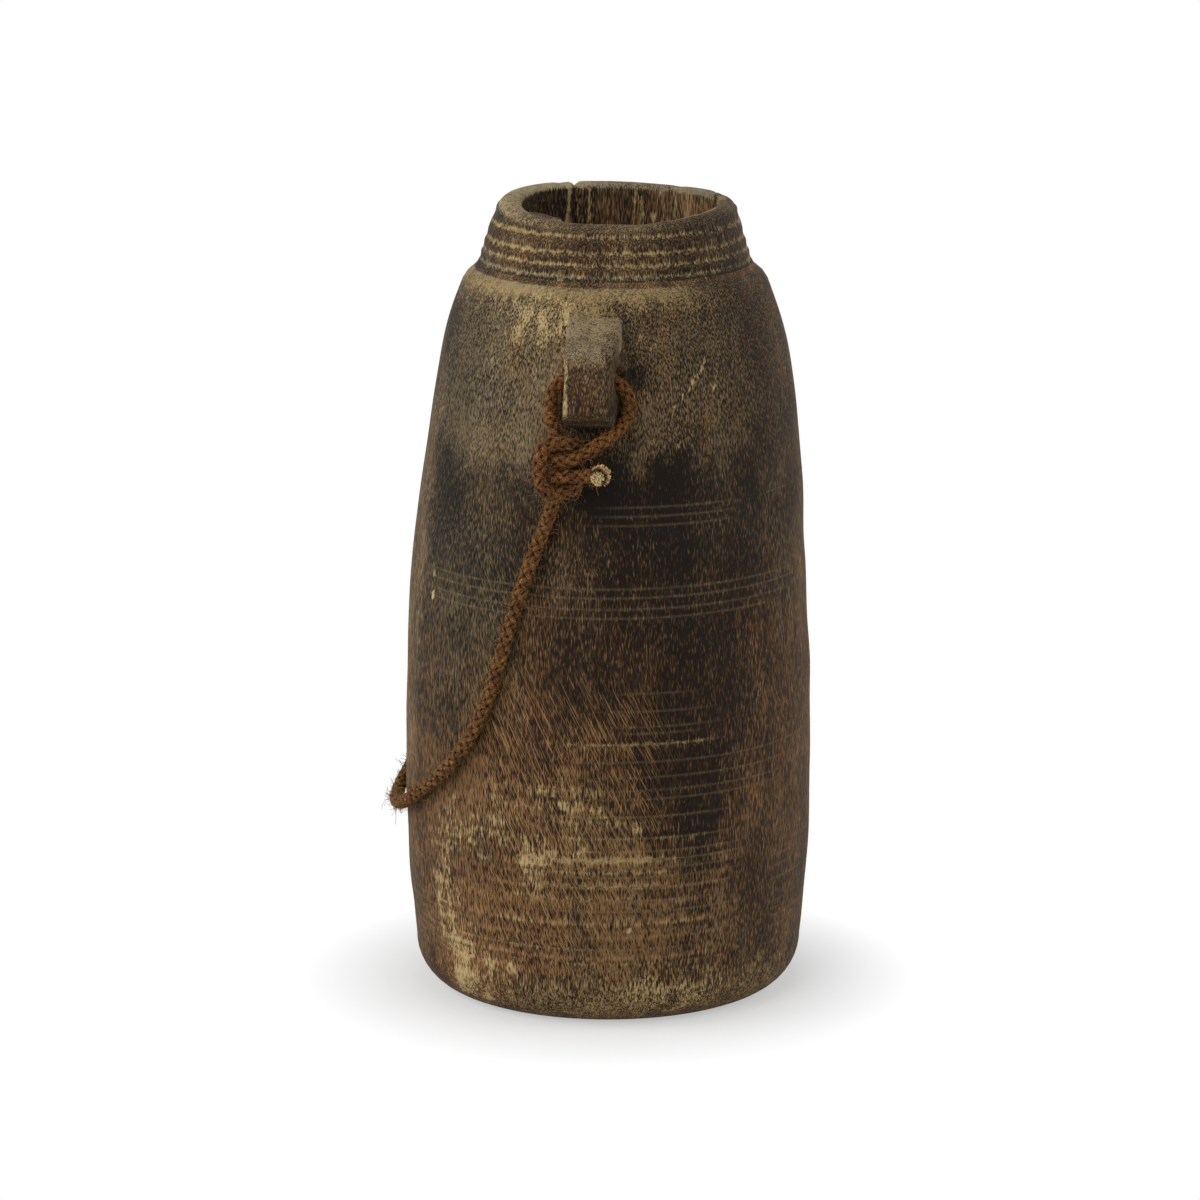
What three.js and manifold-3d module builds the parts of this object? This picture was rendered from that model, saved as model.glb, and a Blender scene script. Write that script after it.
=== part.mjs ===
// A turned and carved wooden milk pot with a plaited rope handle.
// Millimetres, +Z up. The origin is on the floor under the middle of the foot, and the front lug points along -Y.

import * as THREE from 'three';
import { mergeVertices } from 'three/addons/utils/BufferGeometryUtils.js';
import Module from 'manifold-3d';

const wasm = await Module();
wasm.setup();

// Outside of the vessel, as radii and heights above the floor or drops below the rim
const height = 360;
const footFlatRadius = 70;
const footRadius = 88.9;
const footHeight = 22;
const bellyRadius = 93.2;
const bellyHeight = 100;
const shoulderRadius = 79.8;
const shoulderDrop = 70;
const crownRadius = 68.4;
const crownDrop = 32;

// How late each stretch of the outside turns in: 1 would be a straight cone
const underBellyCurve = 2.3;
const overBellyCurve = 2.2;
const crownCurve = 2.06;

// Collar with its turned rings and the lip over them
const collarFootRadius = 61.8;
const collarFootDrop = 25;
const collarTopRadius = 55.2;
const collarTopDrop = 3.4;
const lipRadius = 54.5;
const lipDrop = 2.8;
const rimEdgeRadius = 53;
const ringGrooveDrops = [5.8, 12.8, 18.1, 22.9];
const ringGrooveHalfWidth = 1.6;
const ringGrooveDepth = 1.2;

// Hollow. Its mouth stands a little to the right of the collar, and under the shoulder it is vaulted, not a cone.
const rimWall = 6.8;
const rimRounding = 1.4;
const mouthOffset = 1.5;
const neckLength = 24;
const neckEase = 1.6;
const neckEaseHeight = 8;
const vaultOut = 3;
const vaultUp = 2;
const wall = 12;
const floorThickness = 20;
const floorCornerRadius = 30;

// The log was not turned true: its upper part stands a little to the right of the foot
const lean = 3.1;
const leanStart = 180;

// Lugs, carved from the same block: widths across, how far they stand out past the shoulder, drops below the rim
const lugRootWidth = 25;
const lugFaceWidth = 17;
const lugLipFlare = 3.5;
const lugSoleTaper = 5;
const lugStandOut = 20.2;
const lugRootDepth = 9;
const lugTopDrop = 39;
const lugTopPitch = 2;
const lugKneeDrop = 54;
const lugKneeSetback = 4.5;
const lugKneeChamfer = 3.6;
const lugLipDrop = 78;
const lugLipRounding = 2;
const lugSoleDrop = 85;
const lugSoleSetback = 7.5;
const lugSoleRise = 5;
const lugEdgeWear = 1.4;

// Eyes bored through the lugs, close over the wall, with mouths worn wider by the rope
const eyeRadius = 5;
const eyeDrop = 64;
const eyeSeat = 0.9;
const eyeWear = 2.2;
const eyeWearCurve = 2.5;

// Rope, and the axis that the knot's turns go round: the left leg, straight and leaning with the wall
const ropeDiameter = 6.2;
const ropeSplice = 0.4;
const knotAxisX = -11.5;
const knotAxisY = -93.7;
const knotMiddleZ = 259;
const knotAxisSlope = 0.138;
const turnRadius = 7;

// Fineness of the surfaces
const lathedSides = 56;
const eyeSides = 20;
const footSteps = 7;
const sideSteps = 14;
const crownSteps = 6;
const floorCornerSteps = 4;
const insideSteps = 7;
const eyeSteps = 8;
const turnSteps = 12;
const ropeDivisions = 4000;
const spanSides = 10;
const spanStep = 2.6 * ropeDiameter;
const hitchSides = 8;
const hitchStep = 3.4;

// Cutters run this far past the faces that they cut
const cutPast = 4;

const weldTolerance = 1e-4;

// Materials

const wood = new THREE.MeshStandardMaterial({ color: 0x6f5d4c, roughness: 0.85, metalness: 0 });
const ropeFibre = new THREE.MeshStandardMaterial({ color: 0x8f6236, roughness: 0.95, metalness: 0 });

// Solids: a closed geometry becomes a manifold solid, and back

function solidOf(geometry) {
  const bare = geometry.clone();
  bare.deleteAttribute('normal');
  bare.deleteAttribute('uv');
  const welded = mergeVertices(bare, weldTolerance);
  const mesh = new wasm.Mesh({
    numProp: 3,
    vertProperties: new Float32Array(welded.attributes.position.array),
    triVerts: new Uint32Array(welded.index.array),
  });
  return new wasm.Manifold(mesh);
}

function geometryOf(solid) {
  const mesh = solid.getMesh();
  const geometry = new THREE.BufferGeometry();
  geometry.setAttribute('position', new THREE.BufferAttribute(mesh.vertProperties, 3));
  geometry.setIndex(new THREE.BufferAttribute(mesh.triVerts, 1));
  geometry.computeVertexNormals();
  return geometry;
}

// Vessel

const shoulderHeight = height - shoulderDrop;
const crownHeight = height - crownDrop;
const mouthRadius = rimEdgeRadius - rimWall;
const lugReach = shoulderRadius + lugStandOut;

// Values at even steps, both ends included
function evenly(from, to, steps) {
  return Array.from({ length: steps + 1 }, (_, i) => from + (to - from) * i / steps);
}

// How far the leaning upper part stands to the right at a height
function leanAt(z) {
  return lean * THREE.MathUtils.smoothstep(z, leanStart, shoulderHeight);
}

// Outside radius of the body between the foot and the shoulder
function sideRadius(z) {
  if (z < bellyHeight) {
    const below = (bellyHeight - z) / (bellyHeight - footHeight);
    return bellyRadius - (bellyRadius - footRadius) * below ** underBellyCurve;
  }
  const above = (z - bellyHeight) / (shoulderHeight - bellyHeight);
  return bellyRadius - (bellyRadius - shoulderRadius) * above ** overBellyCurve;
}

// Outside radius from the shoulder up to the crown, leaving the side along its own slope
function crownSideRadius(z) {
  const slope = overBellyCurve * (bellyRadius - shoulderRadius) / (shoulderHeight - bellyHeight);
  const rise = crownHeight - shoulderHeight;
  const along = (z - shoulderHeight) / rise;
  const left = shoulderRadius - crownRadius - slope * rise;
  return shoulderRadius - slope * rise * along - left * along ** crownCurve;
}

// Rounded foot, a quarter of an ellipse from the flat up to the side
function footPoints() {
  return evenly(0, Math.PI / 2, footSteps).map((angle) => new THREE.Vector2(
    footFlatRadius + (footRadius - footFlatRadius) * Math.sin(angle),
    footHeight * (1 - Math.cos(angle)),
  ));
}

// Collar: a cone with grooves turned into it, and a lip that is eased over to the rim's flat top
function collarPoints() {
  const radiusAt = (drop) => THREE.MathUtils.mapLinear(
    drop, collarFootDrop, collarTopDrop, collarFootRadius, collarTopRadius,
  );
  const points = [new THREE.Vector2(collarFootRadius, height - collarFootDrop)];
  for (const drop of [...ringGrooveDrops].reverse()) {
    points.push(new THREE.Vector2(radiusAt(drop + ringGrooveHalfWidth), height - drop - ringGrooveHalfWidth));
    points.push(new THREE.Vector2(radiusAt(drop) - ringGrooveDepth, height - drop));
    points.push(new THREE.Vector2(radiusAt(drop - ringGrooveHalfWidth), height - drop + ringGrooveHalfWidth));
  }
  points.push(new THREE.Vector2(collarTopRadius, height - lipDrop));
  points.push(new THREE.Vector2(lipRadius, height - rimRounding));
  points.push(new THREE.Vector2(rimEdgeRadius, height));
  return points;
}

// Moves a turned shape to the right by the log's lean, and by an offset that is the same all the way up
function leaned(geometry, offset) {
  const position = geometry.attributes.position;
  for (let i = 0; i < position.count; i++) {
    position.setX(i, position.getX(i) + leanAt(position.getZ(i)) + offset);
  }
  return geometry;
}

// A lathe turns its profile about Y, so it is stood up to turn about Z
function turned(points) {
  return new THREE.LatheGeometry(points, lathedSides).rotateX(Math.PI / 2);
}

function bodySolid() {
  const side = evenly(footHeight, shoulderHeight, sideSteps).slice(1)
    .map((z) => new THREE.Vector2(sideRadius(z), z));
  const crown = evenly(shoulderHeight, crownHeight, crownSteps).slice(1)
    .map((z) => new THREE.Vector2(crownSideRadius(z), z));
  const outline = [
    new THREE.Vector2(0, 0),
    ...footPoints(),
    ...side,
    ...crown,
    ...collarPoints(),
    new THREE.Vector2(0, height),
  ];
  return solidOf(leaned(turned(outline), 0));
}

// The hollow: a round floor, a wall of even thickness, a narrower neck and an eased inner edge
function hollowSolid() {
  const neckFoot = height - neckLength;
  const cornerTop = floorThickness + floorCornerRadius;
  const insideAt = (z) => (z < shoulderHeight ? sideRadius(z) : crownSideRadius(z)) - wall;
  const floorCorner = evenly(0, Math.PI / 2, floorCornerSteps).map((angle) => new THREE.Vector2(
    insideAt(cornerTop) - floorCornerRadius * (1 - Math.sin(angle)),
    cornerTop - floorCornerRadius * Math.cos(angle),
  ));
  const side = evenly(cornerTop, shoulderHeight, insideSteps).slice(1)
    .map((z) => new THREE.Vector2(insideAt(z), z));
  const neckFootRadius = mouthRadius + neckEase;
  const vault = new THREE.Vector2(
    (insideAt(shoulderHeight) + neckFootRadius) / 2 + vaultOut,
    (shoulderHeight + neckFoot) / 2 + vaultUp,
  );
  const outline = [
    new THREE.Vector2(0, floorThickness),
    ...floorCorner,
    ...side,
    vault,
    new THREE.Vector2(neckFootRadius, neckFoot),
    new THREE.Vector2(mouthRadius, neckFoot + neckEaseHeight),
    new THREE.Vector2(mouthRadius, height - rimRounding),
    new THREE.Vector2(mouthRadius + rimRounding, height),
    new THREE.Vector2(mouthRadius + rimRounding, height + cutPast),
    new THREE.Vector2(0, height + cutPast),
  ];
  return solidOf(leaned(turned(outline), mouthOffset));
}

// A lug seen from its side: x runs out from the axis and y up. Top, knee, lip and sole, and the root in the wall.
function lugProfile() {
  const topZ = height - lugTopDrop;
  const kneeZ = height - lugKneeDrop;
  const lipZ = height - lugLipDrop;
  const soleZ = height - lugSoleDrop;
  const rootTop = crownSideRadius(topZ);
  const rootSole = sideRadius(soleZ);
  const profile = new THREE.Shape();
  profile.moveTo(rootTop - lugRootDepth, topZ + lugTopPitch);
  profile.lineTo(rootTop, topZ);
  profile.lineTo(lugReach - lugKneeSetback - lugKneeChamfer, kneeZ + lugKneeChamfer);
  profile.lineTo(lugReach - lugKneeSetback, kneeZ);
  profile.lineTo(lugReach, lipZ + lugLipRounding);
  profile.lineTo(lugReach - lugLipRounding / 2, lipZ - lugLipRounding / 2);
  profile.lineTo(lugReach - lugSoleSetback, soleZ);
  profile.lineTo(rootSole, soleZ + lugSoleRise);
  profile.lineTo(rootSole - lugRootDepth, soleZ + lugSoleRise);
  profile.closePath();
  return profile;
}

// Width across a lug: broad at the root and drawn in below the eye, narrow at the face, flared again at the lip
function lugWidthAt(out, z) {
  const toFace = THREE.MathUtils.clamp((out - shoulderRadius) / (lugReach - shoulderRadius), 0, 1);
  const kneeZ = height - lugKneeDrop;
  const lipZ = height - lugLipDrop;
  const toLip = THREE.MathUtils.clamp((kneeZ - z) / (kneeZ - lipZ), 0, 1);
  const rootWidth = lugRootWidth - lugSoleTaper * toLip;
  return rootWidth + (lugFaceWidth + lugLipFlare * toLip - rootWidth) * toFace;
}

function lugSolid() {
  const blank = new THREE.ExtrudeGeometry(lugProfile(), {
    depth: lugRootWidth - 2 * lugEdgeWear,
    bevelEnabled: true,
    bevelSegments: 2,
    bevelSize: lugEdgeWear,
    bevelOffset: -lugEdgeWear,
    bevelThickness: lugEdgeWear,
  });
  const across = lugRootWidth / 2 - lugEdgeWear;
  const stand = new THREE.Matrix4().makeBasis(
    new THREE.Vector3(0, -1, 0), new THREE.Vector3(0, 0, 1), new THREE.Vector3(-1, 0, 0),
  );
  blank.translate(0, 0, -across).applyMatrix4(stand);
  const position = blank.attributes.position;
  for (let i = 0; i < position.count; i++) {
    const width = lugWidthAt(-position.getY(i), position.getZ(i));
    position.setX(i, position.getX(i) * width / lugRootWidth);
  }
  return solidOf(blank);
}

// The eye runs along X between the lug's face and the wall, and the rope has worn its two mouths wider
function eyeSolid() {
  const z = height - eyeDrop;
  const out = crownSideRadius(z) + eyeSeat + eyeRadius;
  const end = lugRootWidth / 2 + cutPast;
  const wornAt = (x) => eyeRadius + eyeWear * Math.abs(2 * x / lugRootWidth) ** eyeWearCurve;
  const bore = new THREE.LatheGeometry([
    new THREE.Vector2(0, -end),
    ...evenly(-end, end, eyeSteps).map((x) => new THREE.Vector2(wornAt(x), x)),
    new THREE.Vector2(0, end),
  ], eyeSides);
  return solidOf(bore.rotateZ(Math.PI / 2).translate(0, -out, z));
}

function vesselGeometry() {
  const lug = lugSolid();
  const eye = eyeSolid();
  const solid = bodySolid()
    .add(lug)
    .add(lug.rotate([0, 0, 180]))
    .subtract(hollowSolid())
    .subtract(eye)
    .subtract(eye.rotate([0, 0, 180]));
  return geometryOf(solid);
}

// Rope

// One turn round the left leg, from the front and back to it. A positive angle starts to the right.
function turnPoints(degrees, fromZ, toZ) {
  return evenly(0, 1, turnSteps).map((part) => {
    const angle = THREE.MathUtils.degToRad(degrees * part);
    const z = fromZ + (toZ - fromZ) * part;
    const axisY = knotAxisY - (knotMiddleZ - z) * knotAxisSlope;
    return [knotAxisX + turnRadius * Math.sin(angle), axisY - turnRadius * Math.cos(angle), z];
  });
}

// Cut tail, curling out to the right of the knot
const tailPoints = [
  [7.4, -108.8, 258.2],
  [6.0, -105.6, 257.6],
  [2.6, -103.2, 256.8],
  [-2.2, -102.1, 256.1],
  [-6.9, -101.9, 255.9],
];

// Bight that lies up over the two turns at the knot's left
const bightPoints = [
  [-14.8, -103.9, 248.5],
  [-17.2, -105.9, 250.7],
  [-18.6, -106.6, 254.7],
  [-18.8, -105.9, 259.2],
  [-18.7, -105.2, 264.0],
  [-17.5, -103.6, 267.9],
  [-15.0, -101.2, 269.9],
];

// Right leg, up from the knot, and through the eye to the top of the left leg
const legPoints = [
  [-5.2, -101.0, 263.1],
  [0.6, -99.0, 266.2],
  [7.4, -93.4, 270.1],
  [13.6, -87.5, 274.4],
  [17.4, -84.3, 279.8],
  [18.2, -83.2, 285.6],
  [16.4, -83.6, 290.8],
  [12.4, -84.5, 294.7],
  [6.4, -84.8, 296.9],
  [0.0, -84.8, 297.3],
  [-6.4, -84.8, 296.8],
  [-12.0, -84.4, 294.4],
  [-15.4, -83.4, 290.2],
  [-16.4, -82.8, 284.8],
];

// Left leg, straight down through the turns and back to the wall below the knot
const throughPoints = [
  [-16.3, -83.6, 279.4],
  [-15.4, -86.8, 275.4],
  [-13.2, -90.4, 271.9],
  [-11.7, -92.4, 267.4],
  [-11.5, -93.6, 259.6],
  [-11.6, -94.7, 251.8],
  [-12.9, -95.0, 246.4],
  [-14.9, -93.2, 241.2],
  [-16.7, -90.6, 236.2],
  [-18.7, -89.0, 230.4],
];

// Front hitch, from the cut tail to where the rope lies on the wall below the knot: the lower turn, the bight
// over both turns, the upper turn, through the eye and down through the turns
const frontHitchPoints = [
  ...tailPoints,
  ...turnPoints(-360, 255.7, 248.3),
  ...bightPoints,
  ...turnPoints(360, 270.1, 262.6),
  ...legPoints,
  ...throughPoints,
];

// Span: from below the front knot down round the left of the pot, lowest at its left side, and up behind it
const spanPoints = [
  [-21.6, -89.0, 223.5],
  [-25.6, -88.9, 212.5],
  [-30.4, -88.7, 198.5],
  [-35.6, -88.0, 181.5],
  [-40.6, -86.6, 164.5],
  [-45.8, -84.4, 148.5],
  [-52.2, -81.1, 134.5],
  [-60.2, -75.7, 121.8],
  [-69.6, -67.3, 110.6],
  [-79.4, -55.4, 100.4],
  [-88.4, -39.4, 91.0],
  [-94.8, -21.6, 85.2],
  [-97.8, -4.0, 83.6],
  [-97.2, 12.6, 87.4],
  [-92.6, 29.0, 94.8],
  [-84.6, 47.0, 104.4],
  [-74.2, 62.2, 115.0],
  [-63.4, 73.2, 127.0],
  [-54.0, 80.2, 140.6],
  [-46.4, 84.4, 156.5],
  [-40.2, 87.0, 173.5],
  [-34.8, 88.6, 191.0],
  [-29.6, 89.0, 206.0],
  [-24.6, 89.0, 218.0],
  [-20.8, 89.0, 227.0],
];

const mirrored = ([x, y, z]) => [x, -y, z];
const backHitchPoints = [...frontHitchPoints].reverse().map(mirrored);

const ropePoints = [...frontHitchPoints, ...spanPoints, ...backHitchPoints]
  .map(([x, y, z]) => new THREE.Vector3(x, y, z));
const ropeLine = new THREE.CatmullRomCurve3(ropePoints, false, 'centripetal');
ropeLine.arcLengthDivisions = ropeDivisions;
const ropeLength = ropeLine.getLength();

// The stretch of the rope between two distances from its front tail
class Stretch extends THREE.Curve {
  constructor(from, to) {
    super();
    this.from = from;
    this.to = to;
  }

  getPoint(t, target = new THREE.Vector3()) {
    return ropeLine.getPointAt((this.from + (this.to - this.from) * t) / ropeLength, target);
  }
}

function ropeStretch(from, to, step, sides) {
  const section = new THREE.Shape(evenly(0, 2 * Math.PI, sides).slice(1).map(
    (angle) => new THREE.Vector2(Math.cos(angle), Math.sin(angle)).multiplyScalar(ropeDiameter / 2),
  ));
  return new THREE.ExtrudeGeometry(section, {
    steps: Math.round((to - from) / step),
    extrudePath: new Stretch(from, to),
  });
}

// Distance along the rope to the route's point of that number
function distanceTo(index) {
  const t = index / (ropePoints.length - 1);
  const lengths = ropeLine.getLengths();
  const at = t * (lengths.length - 1);
  const below = Math.floor(at);
  const next = Math.min(below + 1, lengths.length - 1);
  return lengths[below] + (lengths[next] - lengths[below]) * (at - below);
}

// Least gap of the rope to itself, between points more than three diameters apart along it
function leastGapToItself() {
  const points = ropeLine.getSpacedPoints(Math.round(ropeLength));
  const apart = Math.round(3 * ropeDiameter);
  let least = Infinity;
  for (let i = 0; i < points.length; i++) {
    for (let j = i + apart; j < points.length; j++) {
      least = Math.min(least, points[i].distanceTo(points[j]));
    }
  }
  return least - ropeDiameter;
}

const frontSplice = distanceTo(frontHitchPoints.length - 1);
const backSplice = distanceTo(ropePoints.length - backHitchPoints.length);
console.log(`rope ${ropeLength.toFixed(1)} mm long, least gap to itself ${leastGapToItself().toFixed(2)} mm`);

// Assembly

function named(name, geometry, material) {
  const mesh = new THREE.Mesh(geometry, material);
  mesh.name = name;
  return mesh;
}

const pot = new THREE.Group();
pot.add(named('vessel', vesselGeometry(), wood));
pot.add(named(
  'rope_front_hitch',
  ropeStretch(0, frontSplice - ropeSplice / 2, hitchStep, hitchSides),
  ropeFibre,
));
pot.add(named(
  'rope_span',
  ropeStretch(frontSplice + ropeSplice / 2, backSplice - ropeSplice / 2, spanStep, spanSides),
  ropeFibre,
));
pot.add(named(
  'rope_back_hitch',
  ropeStretch(backSplice + ropeSplice / 2, ropeLength, hitchStep, hitchSides),
  ropeFibre,
));

export default pot;
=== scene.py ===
import math

import bmesh
import bpy
import mathutils
import numpy as np
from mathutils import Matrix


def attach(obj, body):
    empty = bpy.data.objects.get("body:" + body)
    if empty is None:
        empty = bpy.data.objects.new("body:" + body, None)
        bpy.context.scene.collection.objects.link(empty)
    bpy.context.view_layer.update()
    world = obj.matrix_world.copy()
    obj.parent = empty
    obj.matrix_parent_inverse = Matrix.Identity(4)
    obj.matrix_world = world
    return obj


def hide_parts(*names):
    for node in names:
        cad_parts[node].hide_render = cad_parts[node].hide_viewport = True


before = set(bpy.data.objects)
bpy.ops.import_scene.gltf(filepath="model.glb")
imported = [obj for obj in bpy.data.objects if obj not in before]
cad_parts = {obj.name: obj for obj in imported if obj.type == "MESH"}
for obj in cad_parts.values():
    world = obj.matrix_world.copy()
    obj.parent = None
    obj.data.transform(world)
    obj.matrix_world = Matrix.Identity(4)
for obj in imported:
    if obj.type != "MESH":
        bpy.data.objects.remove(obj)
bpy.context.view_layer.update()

mm = 0.001


# The vessel. One block of close hardwood, turned outside and hollowed through the mouth, with
# both lugs carved from the same block. The wood is dry, dark from smoke and hands, and dusty.
height = 360
foot_flat_radius = 70
foot_radius = 88.9
foot_height = 22
belly_radius = 93.2
belly_height = 100
shoulder_radius = 79.8
shoulder_height = 290
crown_radius = 68.4
crown_height = 328
neck_radius = crown_radius - 0.2
neck_rise = 7.5
collar_foot = (61.8, 335)
collar_top = (55.2, 356.6)
mouth_radius = 46.2
mouth_offset = 1.5
floor_height = 20
wall_thickness = 12
floor_corner = 30
lean = 3.1
lean_from = 180
column_count = 300
side_curve = 2.2


def eased(value):
    """A smooth step from 0 to 1."""
    value = np.clip(value, 0, 1)
    return value * value * (3 - 2 * value)


def lean_at(z):
    """How far the axis leans to +X at a height."""
    return lean * eased((np.asarray(z, float) - lean_from) / (shoulder_height - lean_from))


def side_radius(z):
    """The outside radius below the shoulder, at rest before wear."""
    z = np.asarray(z, float)
    below = np.maximum(belly_height - z, 0) / (belly_height - foot_height)
    under = belly_radius - (belly_radius - foot_radius) * below ** 2.3
    rise = shoulder_height - belly_height
    over = (belly_radius - shoulder_radius) * (np.maximum(z - belly_height, 0) / rise) ** side_curve
    return under - over


def crown_side(z):
    """The outside radius from the shoulder up to the foot of the collar."""
    z = np.asarray(z, float)
    rise = crown_height - shoulder_height
    slope = side_curve * (belly_radius - shoulder_radius) / (shoulder_height - belly_height)
    along = np.clip((z - shoulder_height) / rise, 0, 1)
    left = shoulder_radius - crown_radius - slope * rise
    return shoulder_radius - slope * rise * along - left * along ** 2.06


def outside_radius(z):
    """The outside radius at any height from the foot to the crown."""
    return np.where(np.asarray(z) > shoulder_height, crown_side(z), side_radius(z))


# Fine lines that the turner's tool left round the side: height in mm, depth in mm, and the angles
# between which the line shows on the front. Elsewhere it shows in broken stretches.
turned_lines = [
    (239, 0.22, 5, 42), (235, 0.22, 4, 44), (231, 0.2, 2, 40), (203, 0.2, -58, 66), (199, 0.24, -60, 68),
    (194, 0.2, -56, 66), (190, 0.22, -60, 60), (156, 0.18, 9, 30), (148, 0.18, 6, 34), (141, 0.2, 8, 36),
    (138, 0.16, 10, 30), (133, 0.3, 2, 38), (125, 0.2, -4, 60), (118, 0.2, 0, 62), (112, 0.18, 4, 60),
    (108, 0.2, -2, 58), (100, 0.22, -8, 40), (90, 0.2, -6, 44), (84, 0.18, -4, 46), (80, 0.34, -16, 44),
    (76, 0.18, -10, 46), (72, 0.18, -8, 44), (67, 0.3, -12, 40), (61, 0.2, -16, 34), (56, 0.2, -18, 40),
    (50, 0.2, -76, -42), (46.5, 0.2, -78, -40), (43, 0.2, -76, -44),
    (38, 0.24, -78, 30), (34.5, 0.2, -76, -42), (31, 0.2, -74, -40), (27.5, 0.18, -72, -44),
]
line_half_width = 0.9
ring_grooves = [354.2, 347.2, 341.9, 337.1]
groove_half_width = 2.4
groove_depth = 0.42

# Rows of the outside from the middle of the foot to the mouth. They lie closer at the turned lines.
row_z = [22 + 2.9 * k for k in range(106)]
for z, depth, left, right in turned_lines:
    row_z = [v for v in row_z if abs(v - z) > 1.4]
    row_z += [z - line_half_width, z, z + line_half_width]
row_z = np.array(sorted(v for v in row_z if v < 329))
close = np.concatenate([[True], np.diff(row_z) > 0.3])
row_z = row_z[close]

rows = [(r, 0.0) for r in (8, 20, 34, 48, 60, 67)]
rows += [
    (
        foot_flat_radius + (foot_radius - foot_flat_radius) * math.sin(t),
        foot_height - foot_height * math.cos(t),
    )
    for t in np.linspace(0, math.pi / 2, 12)[:-1]
]
rows += [(float(outside_radius(z)), float(z)) for z in row_z]
neck_z = np.concatenate([np.arange(329.5, collar_foot[1], 0.9), np.arange(collar_foot[1], 357.0, 0.5)])
for z in neck_z:
    if z < collar_foot[1]:
        share = eased((z - crown_height) / neck_rise)
        rows.append((float(neck_radius - (neck_radius - collar_foot[0]) * share ** 0.75), float(z)))
    else:
        share = (z - collar_foot[1]) / (collar_top[1] - collar_foot[1])
        radius = collar_foot[0] + (collar_top[0] - collar_foot[0]) * share
        for middle in ring_grooves:
            away = min(abs(z - middle) / groove_half_width, 1)
            radius -= groove_depth * (1 - away * away) ** 1.5
        rows.append((float(radius), float(z)))
rows += [
    (54.4, 357.2), (53.9, 358.0), (53.1, 358.8), (52.2, 359.4), (51.2, 359.8), (50.0, height), (48.8, 359.9),
    (47.7, 359.5), (46.8, 358.8), (46.3, 357.9), (mouth_radius, 356.8),
]
outside_rows = len(rows) - 3

# Rows of the hollow, from the mouth down to the floor.
rows += [(mouth_radius, z) for z in (354.5, 351, 347.5, 344)]
rows += [
    (46.6, 340), (47.8, 336), (50.5, 331), (54, 325.5), (57.6, 320), (60.8, 315), (63.4, 309), (65.6, 301),
]
corner_top = floor_height + floor_corner
rows += [
    (float(side_radius(z)) - wall_thickness, float(z)) for z in np.arange(shoulder_height, corner_top, -13)
]
corner_radius = float(side_radius(corner_top)) - wall_thickness
rows += [
    (corner_radius - floor_corner + floor_corner * math.cos(t), corner_top - floor_corner * math.sin(t))
    for t in np.linspace(0, math.pi / 2, 9)
]
rows += [(r, float(floor_height)) for r in (38, 24, 10)]
rows = np.array(rows)

row_is_inner = np.arange(len(rows)) >= outside_rows
grid_angle = np.linspace(-180, 180, column_count, endpoint=False)[None, :] + np.zeros((len(rows), 1))
grid_radius = rows[:, :1] + np.zeros((1, column_count))
grid_z = rows[:, 1:] + np.zeros((1, column_count))


def turned_angle(angle):
    """An angle in degrees brought to -180 to 180."""
    return (np.asarray(angle) + 180) % 360 - 180


def between(value, low, high, soft):
    """1 between low and high, with soft edges."""
    return eased((value - low + soft) / (2 * soft)) * eased((high - value + soft) / (2 * soft))


def patch(angle, z, at_angle, at_z, half_angle, half_z, soft_angle, soft_z):
    """How much each point lies in a patch of the side, from 0 to 1, with soft edges."""
    across = between(turned_angle(angle - at_angle), -half_angle, half_angle, soft_angle)
    return across * between(z, at_z - half_z, at_z + half_z, soft_z)


random = np.random.default_rng(41)


def drawn_waves(count, turns, rates):
    """Waves for hand_waves: whole turns round the side, a rate up it and two starts each."""
    return [
        (random.integers(*turns), random.uniform(*rates), random.uniform(0, 6.28), random.uniform(0, 6.28))
        for _ in range(count)
    ]


waves = drawn_waves(14, (1, 9), (0.004, 0.03))


def hand_waves(angle, z, waves):
    """Slow waves over the surface, from -1 to 1, that close round the back."""
    total = 0
    for turns, rate, first, second in waves:
        total = total + np.sin(turns * np.radians(angle) + first) * np.sin(rate * z * 6.28 + second)
    return total / math.sqrt(len(waves))


def line_shows(angle, z, left, right, k):
    """How clearly a turned line shows at each angle."""
    drawn = np.random.default_rng(100 + k)
    turns = drawn.integers(2, 8, 4)
    starts = drawn.uniform(0, 6.28, 4)
    broken = sum(np.sin(n * np.radians(angle) + s) for n, s in zip(turns, starts)) / 2
    front = between(angle, left, right, 7)
    return np.clip(np.maximum(front, eased(broken * 1.3 - 0.2) * (np.abs(angle) > 60)), 0, 1)


# Wear goes inwards only, so the pot keeps its size. Dents, tool flats and turned lines are cut in.
worn = 0.35 * (1 + hand_waves(grid_angle, grid_z, waves)) * np.clip(grid_z / 20, 0, 1)
for k in range(90):
    at_angle = random.uniform(-180, 180)
    at_z = random.uniform(18, 326)
    wide = random.uniform(2.5, 8)
    tall = wide * random.uniform(0.8, 2.4)
    deep = random.uniform(0.15, 0.5)
    off = (turned_angle(grid_angle - at_angle) * 1.55 / wide) ** 2 + ((grid_z - at_z) / tall) ** 2
    worn += deep * np.exp(-off)
worn *= np.clip((331 - grid_z) / 10, 0.12, 1)
for k, (z, depth, left, right) in enumerate(turned_lines):
    cut = np.clip(1 - np.abs(grid_z - z) / line_half_width, 0, 1)
    worn += depth * cut * (0.25 + 0.75 * line_shows(grid_angle, z, left, right, k))
worn = np.where(row_is_inner[:, None], -0.6 * worn, worn)
worn[:6] *= 0.2
grid_radius = grid_radius - worn

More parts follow.
